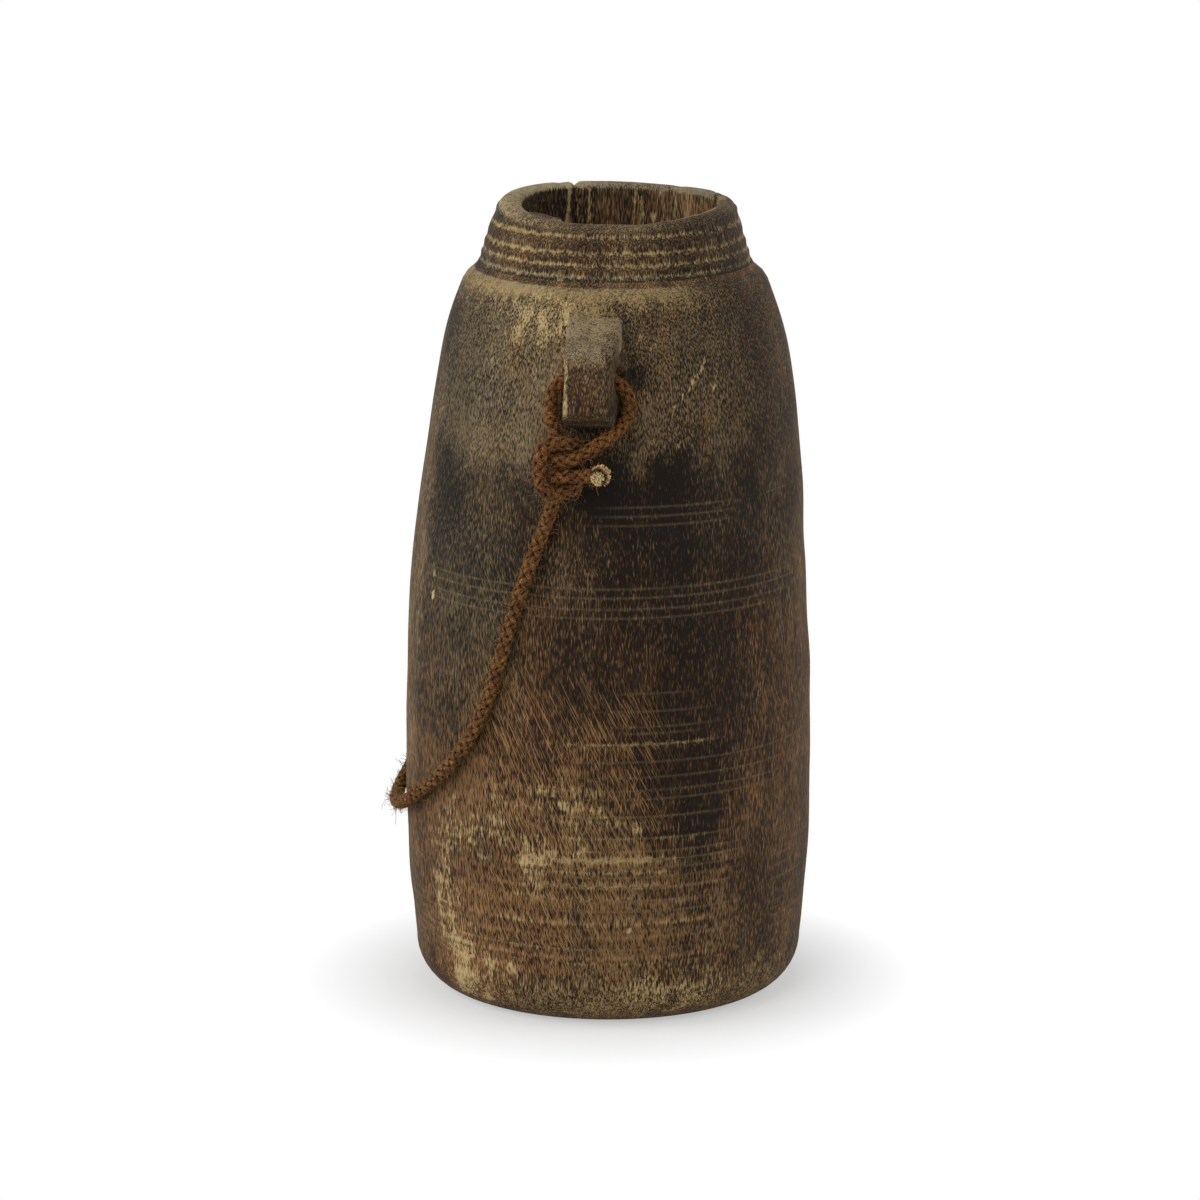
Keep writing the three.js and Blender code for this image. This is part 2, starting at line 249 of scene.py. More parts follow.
# The rim is worn wavy, split at the back left, cracked at the right and chipped at the front left.
rim_splits = [
    (-152, 1.9, 2.0), (-144, 4, 0.5), (123, 1.7, 1.5), (116, 4, 0.4), (-26, 5, 0.3),
    (150, 3, 0.3), (18, 6, 0.3),
]
inner_cracks = [
    (-150, 2.0, 2.0), (112.5, 1.2, 2.4), (-120, 1.0, 0.5), (165, 1.2, 0.5), (20, 1.2, 0.4), (-60, 1.3, 0.4),
    (110, 1.2, 0.6),
]
at_rim = np.exp(-((rows[:, 1] - height) / 5.0) ** 2)[:, None] * (rows[:, :1] < 60)
dip = 0.5 * (1 + hand_waves(grid_angle, 0 * grid_z + 40, waves[:8])) * 0.45
for at_angle, wide, deep in rim_splits:
    dip = dip + deep * np.exp(-(turned_angle(grid_angle - at_angle) / wide) ** 2)
dip = dip - 0.7 * np.exp(-(turned_angle(grid_angle + 27) / 4.5) ** 2)
dip = dip - 0.5 * np.exp(-(turned_angle(grid_angle - 31.6) / 1.3) ** 2)
grid_z = grid_z - np.maximum(dip, 0) * at_rim


# The mouth isn't level: its front is worn lower, and its back and sides stand higher.
def mouth_rise(angle):
    """How much higher the worn rim stands at an angle than a level one."""
    rise = 1.5 - 1.75 * np.cos(np.radians(angle)) - 0.9 * np.cos(2 * np.radians(angle))
    return rise + 1.9 * np.exp(-(turned_angle(angle + 128) / 58) ** 2)


near_rim = eased((rows[:, 1:] - 347) / 11) * (rows[:, :1] < 60)
grid_z = grid_z + mouth_rise(grid_angle) * near_rim
on_left = np.exp(-(turned_angle(grid_angle + 92) / 46) ** 2)
on_right = np.exp(-(turned_angle(grid_angle - 90) / 40) ** 2)
worn_outside = 1.9 * on_left + 0.4 * on_right
worn_inside = 2.9 * on_left + 1.2 * on_right
grid_radius = grid_radius - near_rim * np.where(rows[:, :1] > 49.5, worn_outside, worn_inside)
flake = between(grid_angle, -46, -28, 0.8) * np.exp(-((rows[:, 1:] - 357) / 3.2) ** 2) * (rows[:, :1] < 49)
grid_radius = grid_radius - 1.6 * flake
grid_z = grid_z + 1.9 * flake
down_inside = row_is_inner[:, None] * between(rows[:, 1:], 318, 362, 6)
for at_angle, wide, deep in inner_cracks:
    off = turned_angle(grid_angle - at_angle) / wide
    grid_radius = grid_radius + down_inside * deep * np.exp(-off ** 2)


def grid_faces(index):
    """The quads between the closed rings of a grid of point numbers."""
    here = index[:-1]
    above = index[1:]
    quads = np.stack([here, np.roll(here, -1, 1), np.roll(above, -1, 1), above], axis=-1)
    return quads.reshape(-1, 4).tolist()


def placed(name, data):
    """A new object of the scene that holds the data."""
    made = bpy.data.objects.new(name, data)
    bpy.context.scene.collection.objects.link(made)
    return made


centre_x = lean_at(grid_z) + np.where(row_is_inner[:, None], mouth_offset, 0)
turned = np.radians(grid_angle)
points = np.stack([centre_x + grid_radius * np.sin(turned), -grid_radius * np.cos(turned), grid_z], axis=-1)
count = len(rows)
index = np.arange(count * column_count).reshape(count, column_count)
bottom = count * column_count
faces = grid_faces(index)
for k in range(column_count):
    faces.append((bottom, int(index[0, (k + 1) % column_count]), int(index[0, k])))
for k in range(column_count):
    faces.append((bottom + 1, int(index[-1, k]), int(index[-1, (k + 1) % column_count])))
points = np.vstack([points.reshape(-1, 3), [[0, 0, 0.0], [mouth_offset, 0, floor_height]]])
vessel_mesh = bpy.data.meshes.new("vessel_body")
vessel_mesh.from_pydata((points * mm).tolist(), [], faces)
vessel_mesh.validate()
vessel = placed("vessel_body", vessel_mesh)

# The lugs. Two ears carved from the same block, on opposite sides of the shoulder, each bored
# crosswise for the rope. Their edges are worn round and the bore's mouths are worn wide.
lug_root_reach = {-1: 10.0, 1: 13.4}
lug_bevel = {-1: 1.0, 1: 2.6}
lug_face_width = 17
lug_lip_flare = 2.6
lug_reach = 100
lug_knee_z = 306
lug_lip_z = 282
lug_edge_wear = 1.5
lug_root_flare = 4.5
eye_out = 84.6
eye_z = 296
eye_radius = 5
eye_wear = 1.0
eye_half_length = 12.5
lug_corners = [
    (60.0, 322.5), (70.0, 322.2), (74.5, 320.0), (91.9, 309.8), (95.5, 306), (98.2, 294.5), (100, 284.2),
    (99, 281), (92.5, 275.2), (82.5, 279.0), (72.0, 281.5), (60.0, 281.5),
]


def closed_outline(corners, step, round_steps):
    """Even points on a closed outline, with its corners worn round by averaging."""
    corners = np.array(corners + corners[:1], float)
    gone = np.concatenate([[0], np.cumsum(np.linalg.norm(np.diff(corners, axis=0), axis=1))])
    places = np.linspace(0, gone[-1], int(gone[-1] / step), endpoint=False)
    outline = np.column_stack([np.interp(places, gone, corners[:, k]) for k in range(2)])
    for _ in range(round_steps):
        outline = (outline + np.roll(outline, 1, 0) + np.roll(outline, -1, 0)) / 3
    return outline


def lug_half_width(out, z, side):
    """The lug's reach to one side at a place, with the fillet where it grows from the wall."""
    to_face = np.clip((out - shoulder_radius) / (lug_reach - shoulder_radius), 0, 1)
    to_lip = np.clip((lug_knee_z - z) / (lug_knee_z - lug_lip_z), 0, 1)
    root = lug_root_reach[side] - 0.25 * to_lip
    to_side = (lug_face_width + lug_lip_flare * to_lip) / 2
    reach = root + (to_side - root) * to_face ** lug_bevel[side]
    off_wall = np.clip(out - outside_radius(z), 0, lug_root_flare)
    flare = lug_root_flare - np.sqrt(lug_root_flare ** 2 - (lug_root_flare - off_wall) ** 2)
    return reach + flare * 0.8 * (1 - 0.85 * eased((z - 300) / 12))


outline = closed_outline(lug_corners, 0.95, 5)
middle = np.array([82.0, 299.0])
step_way = np.roll(outline, -1, 0) - np.roll(outline, 1, 0)
inward = np.column_stack([step_way[:, 1], -step_way[:, 0]])
inward /= np.linalg.norm(inward, axis=1)[:, None]
inward *= np.sign(((middle - outline) * inward).sum(1).mean())
rings = []
for shrink in (0.92, 0.78, 0.64, 0.5, 0.38, 0.27, 0.18, 0.1, 0.045):
    ring = outline + inward * lug_edge_wear
    rings.append((-1, 1.0, ring + (middle - ring) * shrink, 0.0))
for t in np.linspace(0, math.pi / 2, 6):
    ring = outline + inward * lug_edge_wear * (1 - math.sin(t))
    rings.append((-1, 1.0, ring, lug_edge_wear * (1 - math.cos(t))))
rings += [(-1, share, outline, lug_edge_wear) for share in (0.86, 0.7, 0.54, 0.38, 0.22, 0.08)]
rings += [(1, share, ring, edge) for side, share, ring, edge in reversed(rings)]
lug_points = []
for side, share, ring, edge in rings:
    half = (lug_half_width(ring[:, 0], ring[:, 1], side) - edge) * share
    lug_points.append(np.column_stack([side * half, -ring[:, 0], ring[:, 1]]))
lug_points = np.array(lug_points)
ring_count, outline_count = lug_points.shape[:2]
flat_points = lug_points.reshape(-1, 3)
index = np.arange(ring_count * outline_count).reshape(ring_count, outline_count)
lug_faces = grid_faces(index)
for ring, pole in ((0, ring_count * outline_count), (ring_count - 1, ring_count * outline_count + 1)):
    for k in range(outline_count):
        edge = (int(index[ring, k]), int(index[ring, (k + 1) % outline_count]))
        lug_faces.append((pole,) + (edge if ring else edge[::-1]))
poles = [
    [side * float(lug_half_width(middle[0], middle[1], side)), -middle[0], middle[1]] for side in (-1, 1)
]
flat_points = np.vstack([flat_points, poles])

# The carver's knife left shallow hollows on the faces, and the front face is bruised.
hollows = np.zeros(len(flat_points))
for k in range(46):
    at = np.array([random.uniform(-11, 11), -random.uniform(78, 101), random.uniform(278, 320)])
    size = np.array([random.uniform(1.2, 3.2), random.uniform(1.5, 4), random.uniform(1.5, 6)])
    hollows += random.uniform(0.1, 0.42) * np.exp(-(((flat_points - at) / size) ** 2).sum(1))
towards = np.array([0, -middle[0], middle[1]]) - flat_points
towards /= np.linalg.norm(towards, axis=1)[:, None]
flat_points = flat_points + towards * hollows[:, None]


def solid_object(name, points, faces):
    """A closed mesh object with its faces turned outwards."""
    mesh = bpy.data.meshes.new(name)
    mesh.from_pydata(points.tolist(), [], faces)
    work = bmesh.new()
    work.from_mesh(mesh)
    bmesh.ops.recalc_face_normals(work, faces=work.faces)
    work.to_mesh(mesh)
    work.free()
    return placed(name, mesh)


bore_steps = np.linspace(-1, 1, 25)
bore_sides = 28
bore_points = []
for share in bore_steps * 1.7:
    radius = eye_radius + eye_wear * min(abs(share), 1.25) ** 2.5
    for k in range(bore_sides):
        t = math.tau * k / bore_sides
        bore_points.append([
            share * eye_half_length, -(eye_out + radius * math.cos(t)), eye_z + radius * math.sin(t),
        ])
index = np.arange(len(bore_points)).reshape(-1, bore_sides)
bore_faces = grid_faces(index)
bore_faces += [index[0].tolist(), index[-1][::-1].tolist()]


def evaluated_mesh(made):
    """The plain mesh that an object's modifiers give."""
    depsgraph = bpy.context.evaluated_depsgraph_get()
    return bpy.data.meshes.new_from_object(made.evaluated_get(depsgraph), depsgraph=depsgraph)


def joined(base, other, operation):
    """Joins or cuts the base with another solid for good, and drops the other."""
    modifier = base.modifiers.new("work", "BOOLEAN")
    modifier.object = other
    modifier.operation = operation
    modifier.solver = "MANIFOLD"
    mesh = evaluated_mesh(base)
    base.modifiers.clear()
    base.data = mesh
    bpy.data.objects.remove(other)


to_front = np.array([1, 1, 1])
to_back = np.array([-1, -1, 1])
for name, solid_points, solid_faces, operation in (
    ("lug", flat_points, lug_faces, "UNION"), ("bore", np.array(bore_points), bore_faces, "DIFFERENCE"),
):
    for facing in (to_front, to_back):
        joined(vessel, solid_object(name, solid_points * facing * mm, solid_faces), operation)
vessel.data.name = "vessel_body"

# The knife blended each lug into the wall, so the seam between them is smoothed over.
work = bmesh.new()
work.from_mesh(vessel.data)
bmesh.ops.remove_doubles(work, verts=work.verts, dist=0.03 * mm)
spots = np.array([v.co for v in work.verts]) / mm
off_wall = np.hypot(spots[:, 0] - lean_at(spots[:, 2]), spots[:, 1]) - outside_radius(spots[:, 2])
seam_reach = 3.0
seam_half_width = 19
seam_foot = 270
seam_top = 330
near_lug = (np.abs(spots[:, 0]) < seam_half_width) & (np.abs(off_wall) < seam_reach)
near_lug &= (spots[:, 2] > seam_foot) & (spots[:, 2] < seam_top)
bore_reach = np.hypot(np.abs(spots[:, 1]) - eye_out, spots[:, 2] - eye_z)
near_lug |= (np.abs(spots[:, 0]) < 16) & (bore_reach < 7.2) & (bore_reach > eye_radius + 0.2)
seam = [v for v, near in zip(work.verts, near_lug) if near]
for _ in range(5):
    bmesh.ops.smooth_vert(work, verts=seam, factor=0.5, use_axis_x=True, use_axis_y=True, use_axis_z=True)
bmesh.ops.recalc_face_normals(work, faces=work.faces)
for face in work.faces:
    face.smooth = True
work.to_mesh(vessel.data)
work.free()

# What the years left on the wood, as values on the points of its surface: darker and lighter
# fields, red heartwood, pale pores, ochre dust, cream smears and the dust in the turned lines. Some
# marks are partly or wholly painted light and shade: a strip and the rim on the lit left, a highlight
# on the lip's inner edge, and shadows behind the knot, beside the front eye and on and under the lugs.
spots = np.empty(len(vessel.data.vertices) * 3)
vessel.data.vertices.foreach_get("co", spots)
spots = spots.reshape(-1, 3) / mm
spot_z = spots[:, 2]
from_axis = np.hypot(spots[:, 0] - lean_at(spot_z), spots[:, 1])
spot_angle = np.degrees(np.arctan2(spots[:, 0] - lean_at(spot_z), -spots[:, 1]))
wall_here = outside_radius(np.minimum(spot_z, crown_height))
inside = (from_axis < np.where(spot_z > collar_foot[1], 48.5, wall_here - 5)) & (spot_z > 15)
lip_z = spot_z - mouth_rise(spot_angle)
inside &= (spot_z < 350) | (lip_z < 356.6)
outer = ~inside
on_lug = outer & (from_axis > wall_here + 1.2) & (spot_z > seam_foot) & (spot_z < 325)
lug_x = spots[:, 0] * np.where(spots[:, 1] > 0, -1, 1)
lug_out = np.abs(spots[:, 1])
fine_waves = drawn_waves(24, (6, 40), (0.01, 0.09))
ragged_angle = spot_angle + 2.6 * hand_waves(spot_angle, spot_z, fine_waves[:12])
wavy_z = spot_z + 0.45 * hand_waves(spot_angle * 2, spot_z * 0.2, fine_waves[6:18])
ragged_z = spot_z + 4.5 * hand_waves(spot_angle, spot_z, fine_waves[12:])


def painted(marks, at_z=ragged_z):
    """Adds up patches given as strength, angle, height, half sizes and edge widths."""
    total = np.zeros(len(spots))
    for strength, *place in marks:
        total += strength * patch(ragged_angle, at_z, *place)
    return total


def strokes(marks):
    """Thin marks given as two ends, each an angle and a height, a half width in mm and a strength."""
    total = np.zeros(len(spots))
    around = np.radians(spot_angle) * from_axis
    for from_angle, from_z, to_angle, to_z, half_wide, strength in marks:
        ax = np.radians(from_angle) * from_axis
        bx = np.radians(to_angle) * from_axis
        way_x = bx - ax
        way_z = to_z - from_z
        reached = (around - ax) * way_x + (spot_z - from_z) * way_z
        along = np.clip(reached / (way_x ** 2 + way_z ** 2 + 1e-9), 0, 1)
        away = np.hypot(around - ax - along * way_x, spot_z - from_z - along * way_z)
        total = np.maximum(total, strength * eased((half_wide * 1.6 - away) / (half_wide * 1.1)))
    return total


tone = painted([
    (-0.85, -53, 262, 8, 34, 3, 14), (-0.62, -45, 150, 16, 86, 4, 20), (-1.1, 12, 250, 15, 13, 7, 8),
    (-0.5, 8, 190, 17, 54, 14, 20), (-0.3, 24, 165, 9, 45, 6, 14), (-0.4, 40, 160, 4, 18, 3, 8),
    # (0.75, -79, 180) is the strip down the left edge: partly lighter wood, partly painted light where the
    # left lamp grazes the side.
    (-0.85, 26, 106, 12, 30, 1.6, 8), (0.75, -79, 180, 16, 122, 1.8, 15), (0.3, -22, 305, 16, 18, 3, 6),
    (0.25, -30, 272, 18, 22, 6, 10), (-0.35, -56, 303, 17, 18, 4, 8), (0.3, -35, 60, 28, 44, 12, 20),
    (-0.3, -41, 189, 12, 22, 6, 14), (-0.28, 42, 238, 12, 26, 6, 12), (-0.55, 36, 162, 12, 28, 5, 10),
    # (-1.4, -13, 258) is a painted shadow, with some grime, on the wall behind the knot; (-1.2, 11.5, 296) is
    # a painted shadow, with some dirt, on the wall right of the front lug's eye.
    (-0.2, 20, 345, 3, 3, 2, 2), (-1.4, -13, 258, 7, 9, 3, 4), (-1.2, 11.5, 296, 4, 6, 4, 6),
    (0.3, 8, 310, 14, 12, 6, 6), (-0.42, 2, 74, 26, 48, 10, 16), (-0.4, -38, 290, 12, 26, 6, 10),
    (-0.25, -34, 196, 16, 34, 8, 14), (-0.25, 32, 208, 12, 18, 6, 8), (-0.25, 34, 130, 16, 40, 6, 14),
    (-0.22, 36, 256, 16, 20, 8, 10), (-0.22, 34, 168, 14, 24, 6, 10), (-0.22, 46, 304, 16, 20, 8, 8),
    (0.3, -40, 26, 14, 18, 6, 8), (-0.45, 2, 66, 18, 14, 8, 8), (-0.2, -42, 200, 14, 40, 6, 14),
    (-0.3, -42, 98, 14, 12, 6, 8), (-0.2, 24, 306, 12, 14, 6, 8), (0.25, 76, 150, 12, 120, 6, 20),
    (0.1, 50, 84, 11, 54, 2, 20), (-0.5, 60, 292, 14, 28, 6, 10), (-0.62, 32, 228, 28, 26, 10, 12),
    (-0.3, -20, 225, 12, 24, 6, 12), (-0.62, 44, 170, 20, 52, 8, 18), (-0.45, 68, 244, 12, 42, 6, 18),
    (-0.22, 46, 292, 12, 24, 6, 8), (0.1, -38, 20, 26, 12, 8, 6), (-1.2, 30, 58, 1.2, 1.6, 0.8, 1),
    (-1.0, 32, 52, 0.9, 1.8, 0.8, 1), (-0.9, 74, 50, 3, 4, 2, 3), (-0.5, 34, 319, 28, 3, 6, 3),
    (0.3, 24, 16, 24, 12, 8, 6), (0.6, 100, 120, 12, 90, 3, 20), (-0.6, 128, 210, 13, 80, 4, 18),
    (-0.4, 122, 70, 10, 40, 2, 12), (0.5, 152, 90, 12, 60, 4, 20), (-0.7, 172, 190, 15, 60, 6, 16),
    (-0.5, 176, 292, 10, 14, 5, 8), (0.4, 160, 296, 8, 24, 4, 8), (-0.6, -160, 120, 11, 60, 2, 12),
    (0.5, -135, 230, 12, 70, 4, 18), (-0.5, -112, 150, 10, 90, 3, 18), (0.35, -148, 50, 22, 34, 6, 14),
    (-0.4, -120, 280, 16, 30, 6, 12),
])
slow = hand_waves(spot_angle, spot_z, waves[3:11])
banding = np.sin(spot_z * 1.15) + np.sin(spot_z * 0.73 + 1.7) + np.sin(spot_z * 1.9 + 0.4)
tone = tone + 0.22 * slow + 0.4 * banding * patch(spot_angle, wavy_z, 2, 76, 36, 54, 12, 14)
collar = outer & (spot_z > 333)
undercut = between(spot_z, 333.6, 337.0, 0.7)
# The rim's top is paler at the back and on the left. On the left this is partly worn wood and partly painted
# light from the left lamp.
pale_and_lit_left = between(spot_angle, -165, -45, 22)
on_lip = eased((lip_z - 355.6) / 2.5)
rim_pale_and_lit = 0.55 + 1.0 * eased(0.25 - np.cos(np.radians(spot_angle))) + 0.7 * pale_and_lit_left
collar_tone = -0.12 + 0.4 * between(spot_angle, -60, 26, 14) + 0.25 * slow - 0.75 * undercut
collar_tone = collar_tone - 0.62 * between(spot_angle, 26, 76, 16) + rim_pale_and_lit * on_lip
tone = np.where(collar, collar_tone, tone)

warm = painted([
    (0.8, -38, 66, 26, 56, 10, 20), (0.45, 15, 71, 30, 6, 8, 2), (0.5, 0, 80, 26, 60, 10, 20),
    (0.8, 46, 218, 3, 9, 2, 4), (0.5, 8, 220, 2, 4, 1, 2), (0.5, -29, 303, 4, 12, 2, 5),
    (0.5, 30, 160, 30, 60, 12, 20), (0.35, -14, 150, 10, 50, 6, 20), (0.2, 30, 345, 40, 10, 20, 5),
    (0.5, 120, 90, 30, 60, 10, 20), (0.5, -130, 160, 26, 70, 10, 20), (0.5, 165, 60, 30, 40, 10, 14),
    (0.3, -30, 343, 30, 8, 10, 4),
]) + 0.12 * (1 + slow) + 0.4 * eased((215 - spot_z) / 60)
warm = warm - (0.8 + 0.8 * warm) * between(spot_z, 331, 338, 1)
warm = warm - 0.5 * between(spot_angle, -95, -20, 20) * between(spot_z, 150, 340, 30)
warm = warm + (-0.05 - 0.55 * rim_pale_and_lit - warm) * outer * eased((lip_z - 354.5) / 2)

speckle = 0.5 + painted([
    # (-0.6, 11.5, 296) keeps pale pores out of the painted shadow right of the front lug's eye.
    (-0.6, 11.5, 296, 4, 6, 4, 6), (0.5, -35, 290, 26, 34, 6, 10), (0.38, 32, 292, 22, 34, 6, 8),
    (-0.2, 10, 200, 20, 60, 8, 14), (0.25, -45, 160, 16, 70, 4, 20), (0.35, -20, 70, 40, 50, 10, 16),
    (-0.3, 26, 106, 12, 30, 1.5, 8), (0.3, 20, 58, 22, 30, 8, 10), (-0.1, 9, 247, 13, 9, 7, 8),
    # (-0.15, -79, 180) thins the pale pores on that left strip of lighter wood and painted edge light.
    (-0.15, -79, 180, 14, 110, 2, 15), (0.4, 110, 270, 24, 50, 8, 12), (0.35, -140, 110, 26, 60, 8, 16),
    (0.3, 165, 60, 26, 44, 8, 14), (-0.3, 150, 210, 16, 50, 8, 14), (0.35, -150, 290, 20, 34, 8, 10),
    (-0.25, -110, 180, 12, 70, 6, 16),
])
slanted = painted([
    (1.0, -6, 92, 26, 66, 8, 18), (0.8, 130, 110, 26, 70, 8, 18), (0.7, -130, 80, 24, 60, 8, 18),
    (0.5, -26, 175, 8, 40, 4, 14),
])

dust = 1.1 * between(wavy_z, 326.4, 334.4, 1.3) * outer * (1 - 0.8 * between(spot_angle, 36, 110, 14))
ring_bands = np.zeros(len(spots))
for k, middle_z in enumerate(ring_grooves):
    band = between(wavy_z, middle_z - 1.0, middle_z + 0.7, 1.1) * outer
    dust = np.maximum(dust, (1.08 - 0.03 * k) * band * (1 - 0.4 * between(spot_angle, 30, 76, 14)))
    ring_bands = np.maximum(ring_bands, band * (1 - 0.5 * between(spot_angle, 30, 80, 14)))
dust = np.maximum(dust, 0.45 * between(ragged_z, 320, 334, 4) * between(spot_angle, -120, -2, 20))
dust = np.maximum(dust, 0.7 * between(ragged_z, 311, 334, 3) * between(spot_angle, -24, 7, 3))
dust = np.maximum(dust, 0.9 * between(spot_z, 317, 334, 2) * between(spot_angle, -12, 5, 3) * outer)
dust = np.maximum(dust, 0.6 * between(wavy_z, 322.5, 334, 1.5) * between(spot_angle, 0, 42, 12) * outer)
dust = np.maximum(dust, 0.1 * collar)
foot_dust = between(ragged_z, 0, 24, 10) * between(turned_angle(spot_angle - 20), -60, 60, 25)
dust = np.maximum(dust, 0.5 * foot_dust)
dust = np.maximum(dust, 0.2 * eased((lip_z - 356.0) / 1.5))
dust = dust * (0.85 + 0.2 * hand_waves(spot_angle, spot_z * 0.3, waves[5:13]))
dust = np.maximum(dust, painted([
    (0.6, 14, 133, 20, 0.9, 6, 0.9), (0.95, 0, 80, 21, 1.5, 6, 1.0), (0.8, 4, 74.5, 18, 0.7, 6, 0.7),
    (0.7, 2, 68, 18, 0.8, 6, 0.7), (0.6, -3, 97, 20, 0.9, 6, 0.8), (0.5, -8, 104, 14, 1.2, 5, 1.0),
    (0.5, -10, 112, 14, 1.2, 6, 1.0), (0.55, 0, 50, 30, 0.9, 8, 0.9), (0.5, -4, 62, 24, 0.8, 8, 0.8),
    (0.5, -34, 38, 30, 0.8, 8, 0.8), (0.45, 10, 90, 22, 0.8, 8, 0.8), (0.45, 10, 31, 30, 0.8, 8, 0.8),
], wavy_z))

cream = painted([
    (0.6, -28, 321.5, 3.2, 9, 3, 5), (0.5, -19, 320, 2.6, 8, 2, 5), (0.55, -12, 319.5, 2.6, 9, 1.6, 5),
    (0.5, -9, 108, 5, 4, 4, 4), (0.42, -16, 76, 2.6, 13, 2.5, 8), (0.45, -7, 81, 8, 3, 4, 2),
    (0.62, -42.2, 26, 4.4, 15, 1.2, 10), (0.45, -40, 14, 7, 7, 3, 4), (0.55, -23, 25, 3.2, 4, 2, 2),
    (0.5, -31, 24, 2.4, 5, 1.5, 3), (0.12, -6, 96, 9, 18, 5, 8), (0.5, 26, 17, 14, 6, 8, 4),
    (0.12, -26, 306, 20, 20, 8, 10), (0.3, -48, 60, 5, 26, 3, 10), (0.35, -38, 88, 6, 10, 3, 6),
    (0.4, -26, 96, 3, 12, 1.6, 5), (0.3, 120, 40, 8, 14, 2, 6), (0.6, -150, 34, 5, 12, 1, 6),
    (0.5, 160, 120, 3, 16, 1.5, 6), (0.5, -170, 318, 4, 8, 1.5, 4), (0.5, 100, 312, 3, 9, 1.2, 4),
    (0.3, -120, 290, 24, 20, 8, 10),
])
cream = cream * (1 + 0.25 * banding * eased((130 - spot_z) / 20))
cream = np.maximum(cream, 0.2 * ring_bands)
# Partly painted light: the lip on the lit left side is paler.
cream = np.maximum(cream, 0.55 * pale_and_lit_left * outer * on_lip)
# A painted highlight: a thin pale line along the front inner edge of the lip, where the sharp edge catches
# the light.
inner_edge_highlight = between(from_axis, 45.0, 48.8, 0.5) * between(lip_z, 357.0, 361.0, 0.6)
cream = np.maximum(cream, 0.8 * inner_edge_highlight * between(spot_angle, -30, 76, 8))
cream = np.maximum(cream, strokes([
    (36.5, 301, 31, 291, 0.7, 0.62), (31, 291, 25, 282, 0.5, 0.55), (14, 312, 18.5, 309.5, 0.9, 0.6),
    (24, 267.5, 27.5, 264.5, 0.7, 0.55), (-39.5, 307, -38.5, 300, 0.7, 0.6), (12, 47.4, 12.4, 46.8, 0.9, 1.2),
    (-55.2, 190.4, -55, 189.6, 1.0, 1.5), (-55.6, 206, -55.4, 199, 0.45, 0.8), (118, 240, 128, 226, 0.7, 0.6),
    (-128, 200, -140, 186, 0.6, 0.55), (-44.6, 46, -44.2, 30, 1.0, 0.7), (-17, 88, -14, 66, 1.2, 0.6),
    (8, 97, 18, 93, 0.6, 0.5), (3, 104, 9, 92, 0.6, 0.5), (52, 160, 53, 146, 0.4, 0.6),
]))
# A pale ring, 7 mm high, scratched right of the front lug.
circle = [
    (39 + 2.6 * math.sin(t), 292 + 3.5 * math.cos(t)) for t in (math.tau * k / 20 for k in range(21))
]
for first, second in zip(circle, circle[1:]):
    cream = np.maximum(cream, strokes([(*first, *second, 0.4, 0.42)]))

grooves = np.zeros(len(spots))
for k, (z, depth, left, right) in enumerate(turned_lines):
    core = np.clip(1 - np.abs(spot_z - z) / line_half_width, 0, 1)
    grooves = np.maximum(grooves, core * line_shows(spot_angle, z, left, right, k) * (0.24 + 1.3 * depth))
grooves = grooves * outer * ~on_lug
sole = on_lug & (spot_z < 281.8)
for at_out in (98.0, 95.4, 92.6):
    grooves = np.maximum(grooves, 0.45 * sole * between(lug_out, at_out - 0.5, at_out + 0.5, 0.4))
knife_marks = eased(1.4 * np.sin(2.2 * lug_out + 0.12 * lug_x))
grooves = np.maximum(grooves, 0.3 * (on_lug & (spot_z > 309)) * knife_marks)

# Both lugs: grey and worn on top, dark red brown on the face and pale along one edge. Painted shade
# darkens each underside and the foot of each right flank.
top = on_lug & (spot_z > 307)
face = on_lug & (spot_z <= 307) & (np.abs(lug_x) < 8.8) & (lug_out > 91)
tone = np.where(on_lug, 0.15, tone)
tone = np.where(top, 1.25, tone)
# Painted shade on the right flank: darker towards its foot.
shaded_flank = on_lug & (lug_x > 7.4) & (lug_out > 82)
tone = np.where(shaded_flank, 0.7 * eased((spot_z - 286) / 8) - 0.5, tone)
tone = np.where(face, 0.25 + 0.9 * between(spot_z, 303.5, 312, 2.0), tone)
# Painted shade under each lug.
tone = np.where(on_lug & (spot_z < 281.5), -0.75, tone)
warm = np.where(on_lug, 0.1, warm)
warm = np.where(top, -1, warm)
warm = np.where(face, 0.35 - 0.3 * between(spot_z, 298, 309, 3), warm)
edge = on_lug * between(lug_x, -11.5, -7.6, 0.6) * between(spot_z, 281, 307, 3)
worn_chip = on_lug * between(lug_x, 4.5, 8.5, 0.8) * between(lug_out, 84.2, 86.4, 0.8)
cream = np.maximum(np.where(on_lug, 0, cream), np.maximum(0.62 * edge, 0.6 * worn_chip))
speckle = np.where(on_lug, 0.35, speckle)
speckle = np.where(top, 0.6, speckle)
dust = np.where(on_lug, 0.0, dust)
dust = np.where(top, 0.34 + 0.3 * between(lug_out, 60, 83, 3), dust)

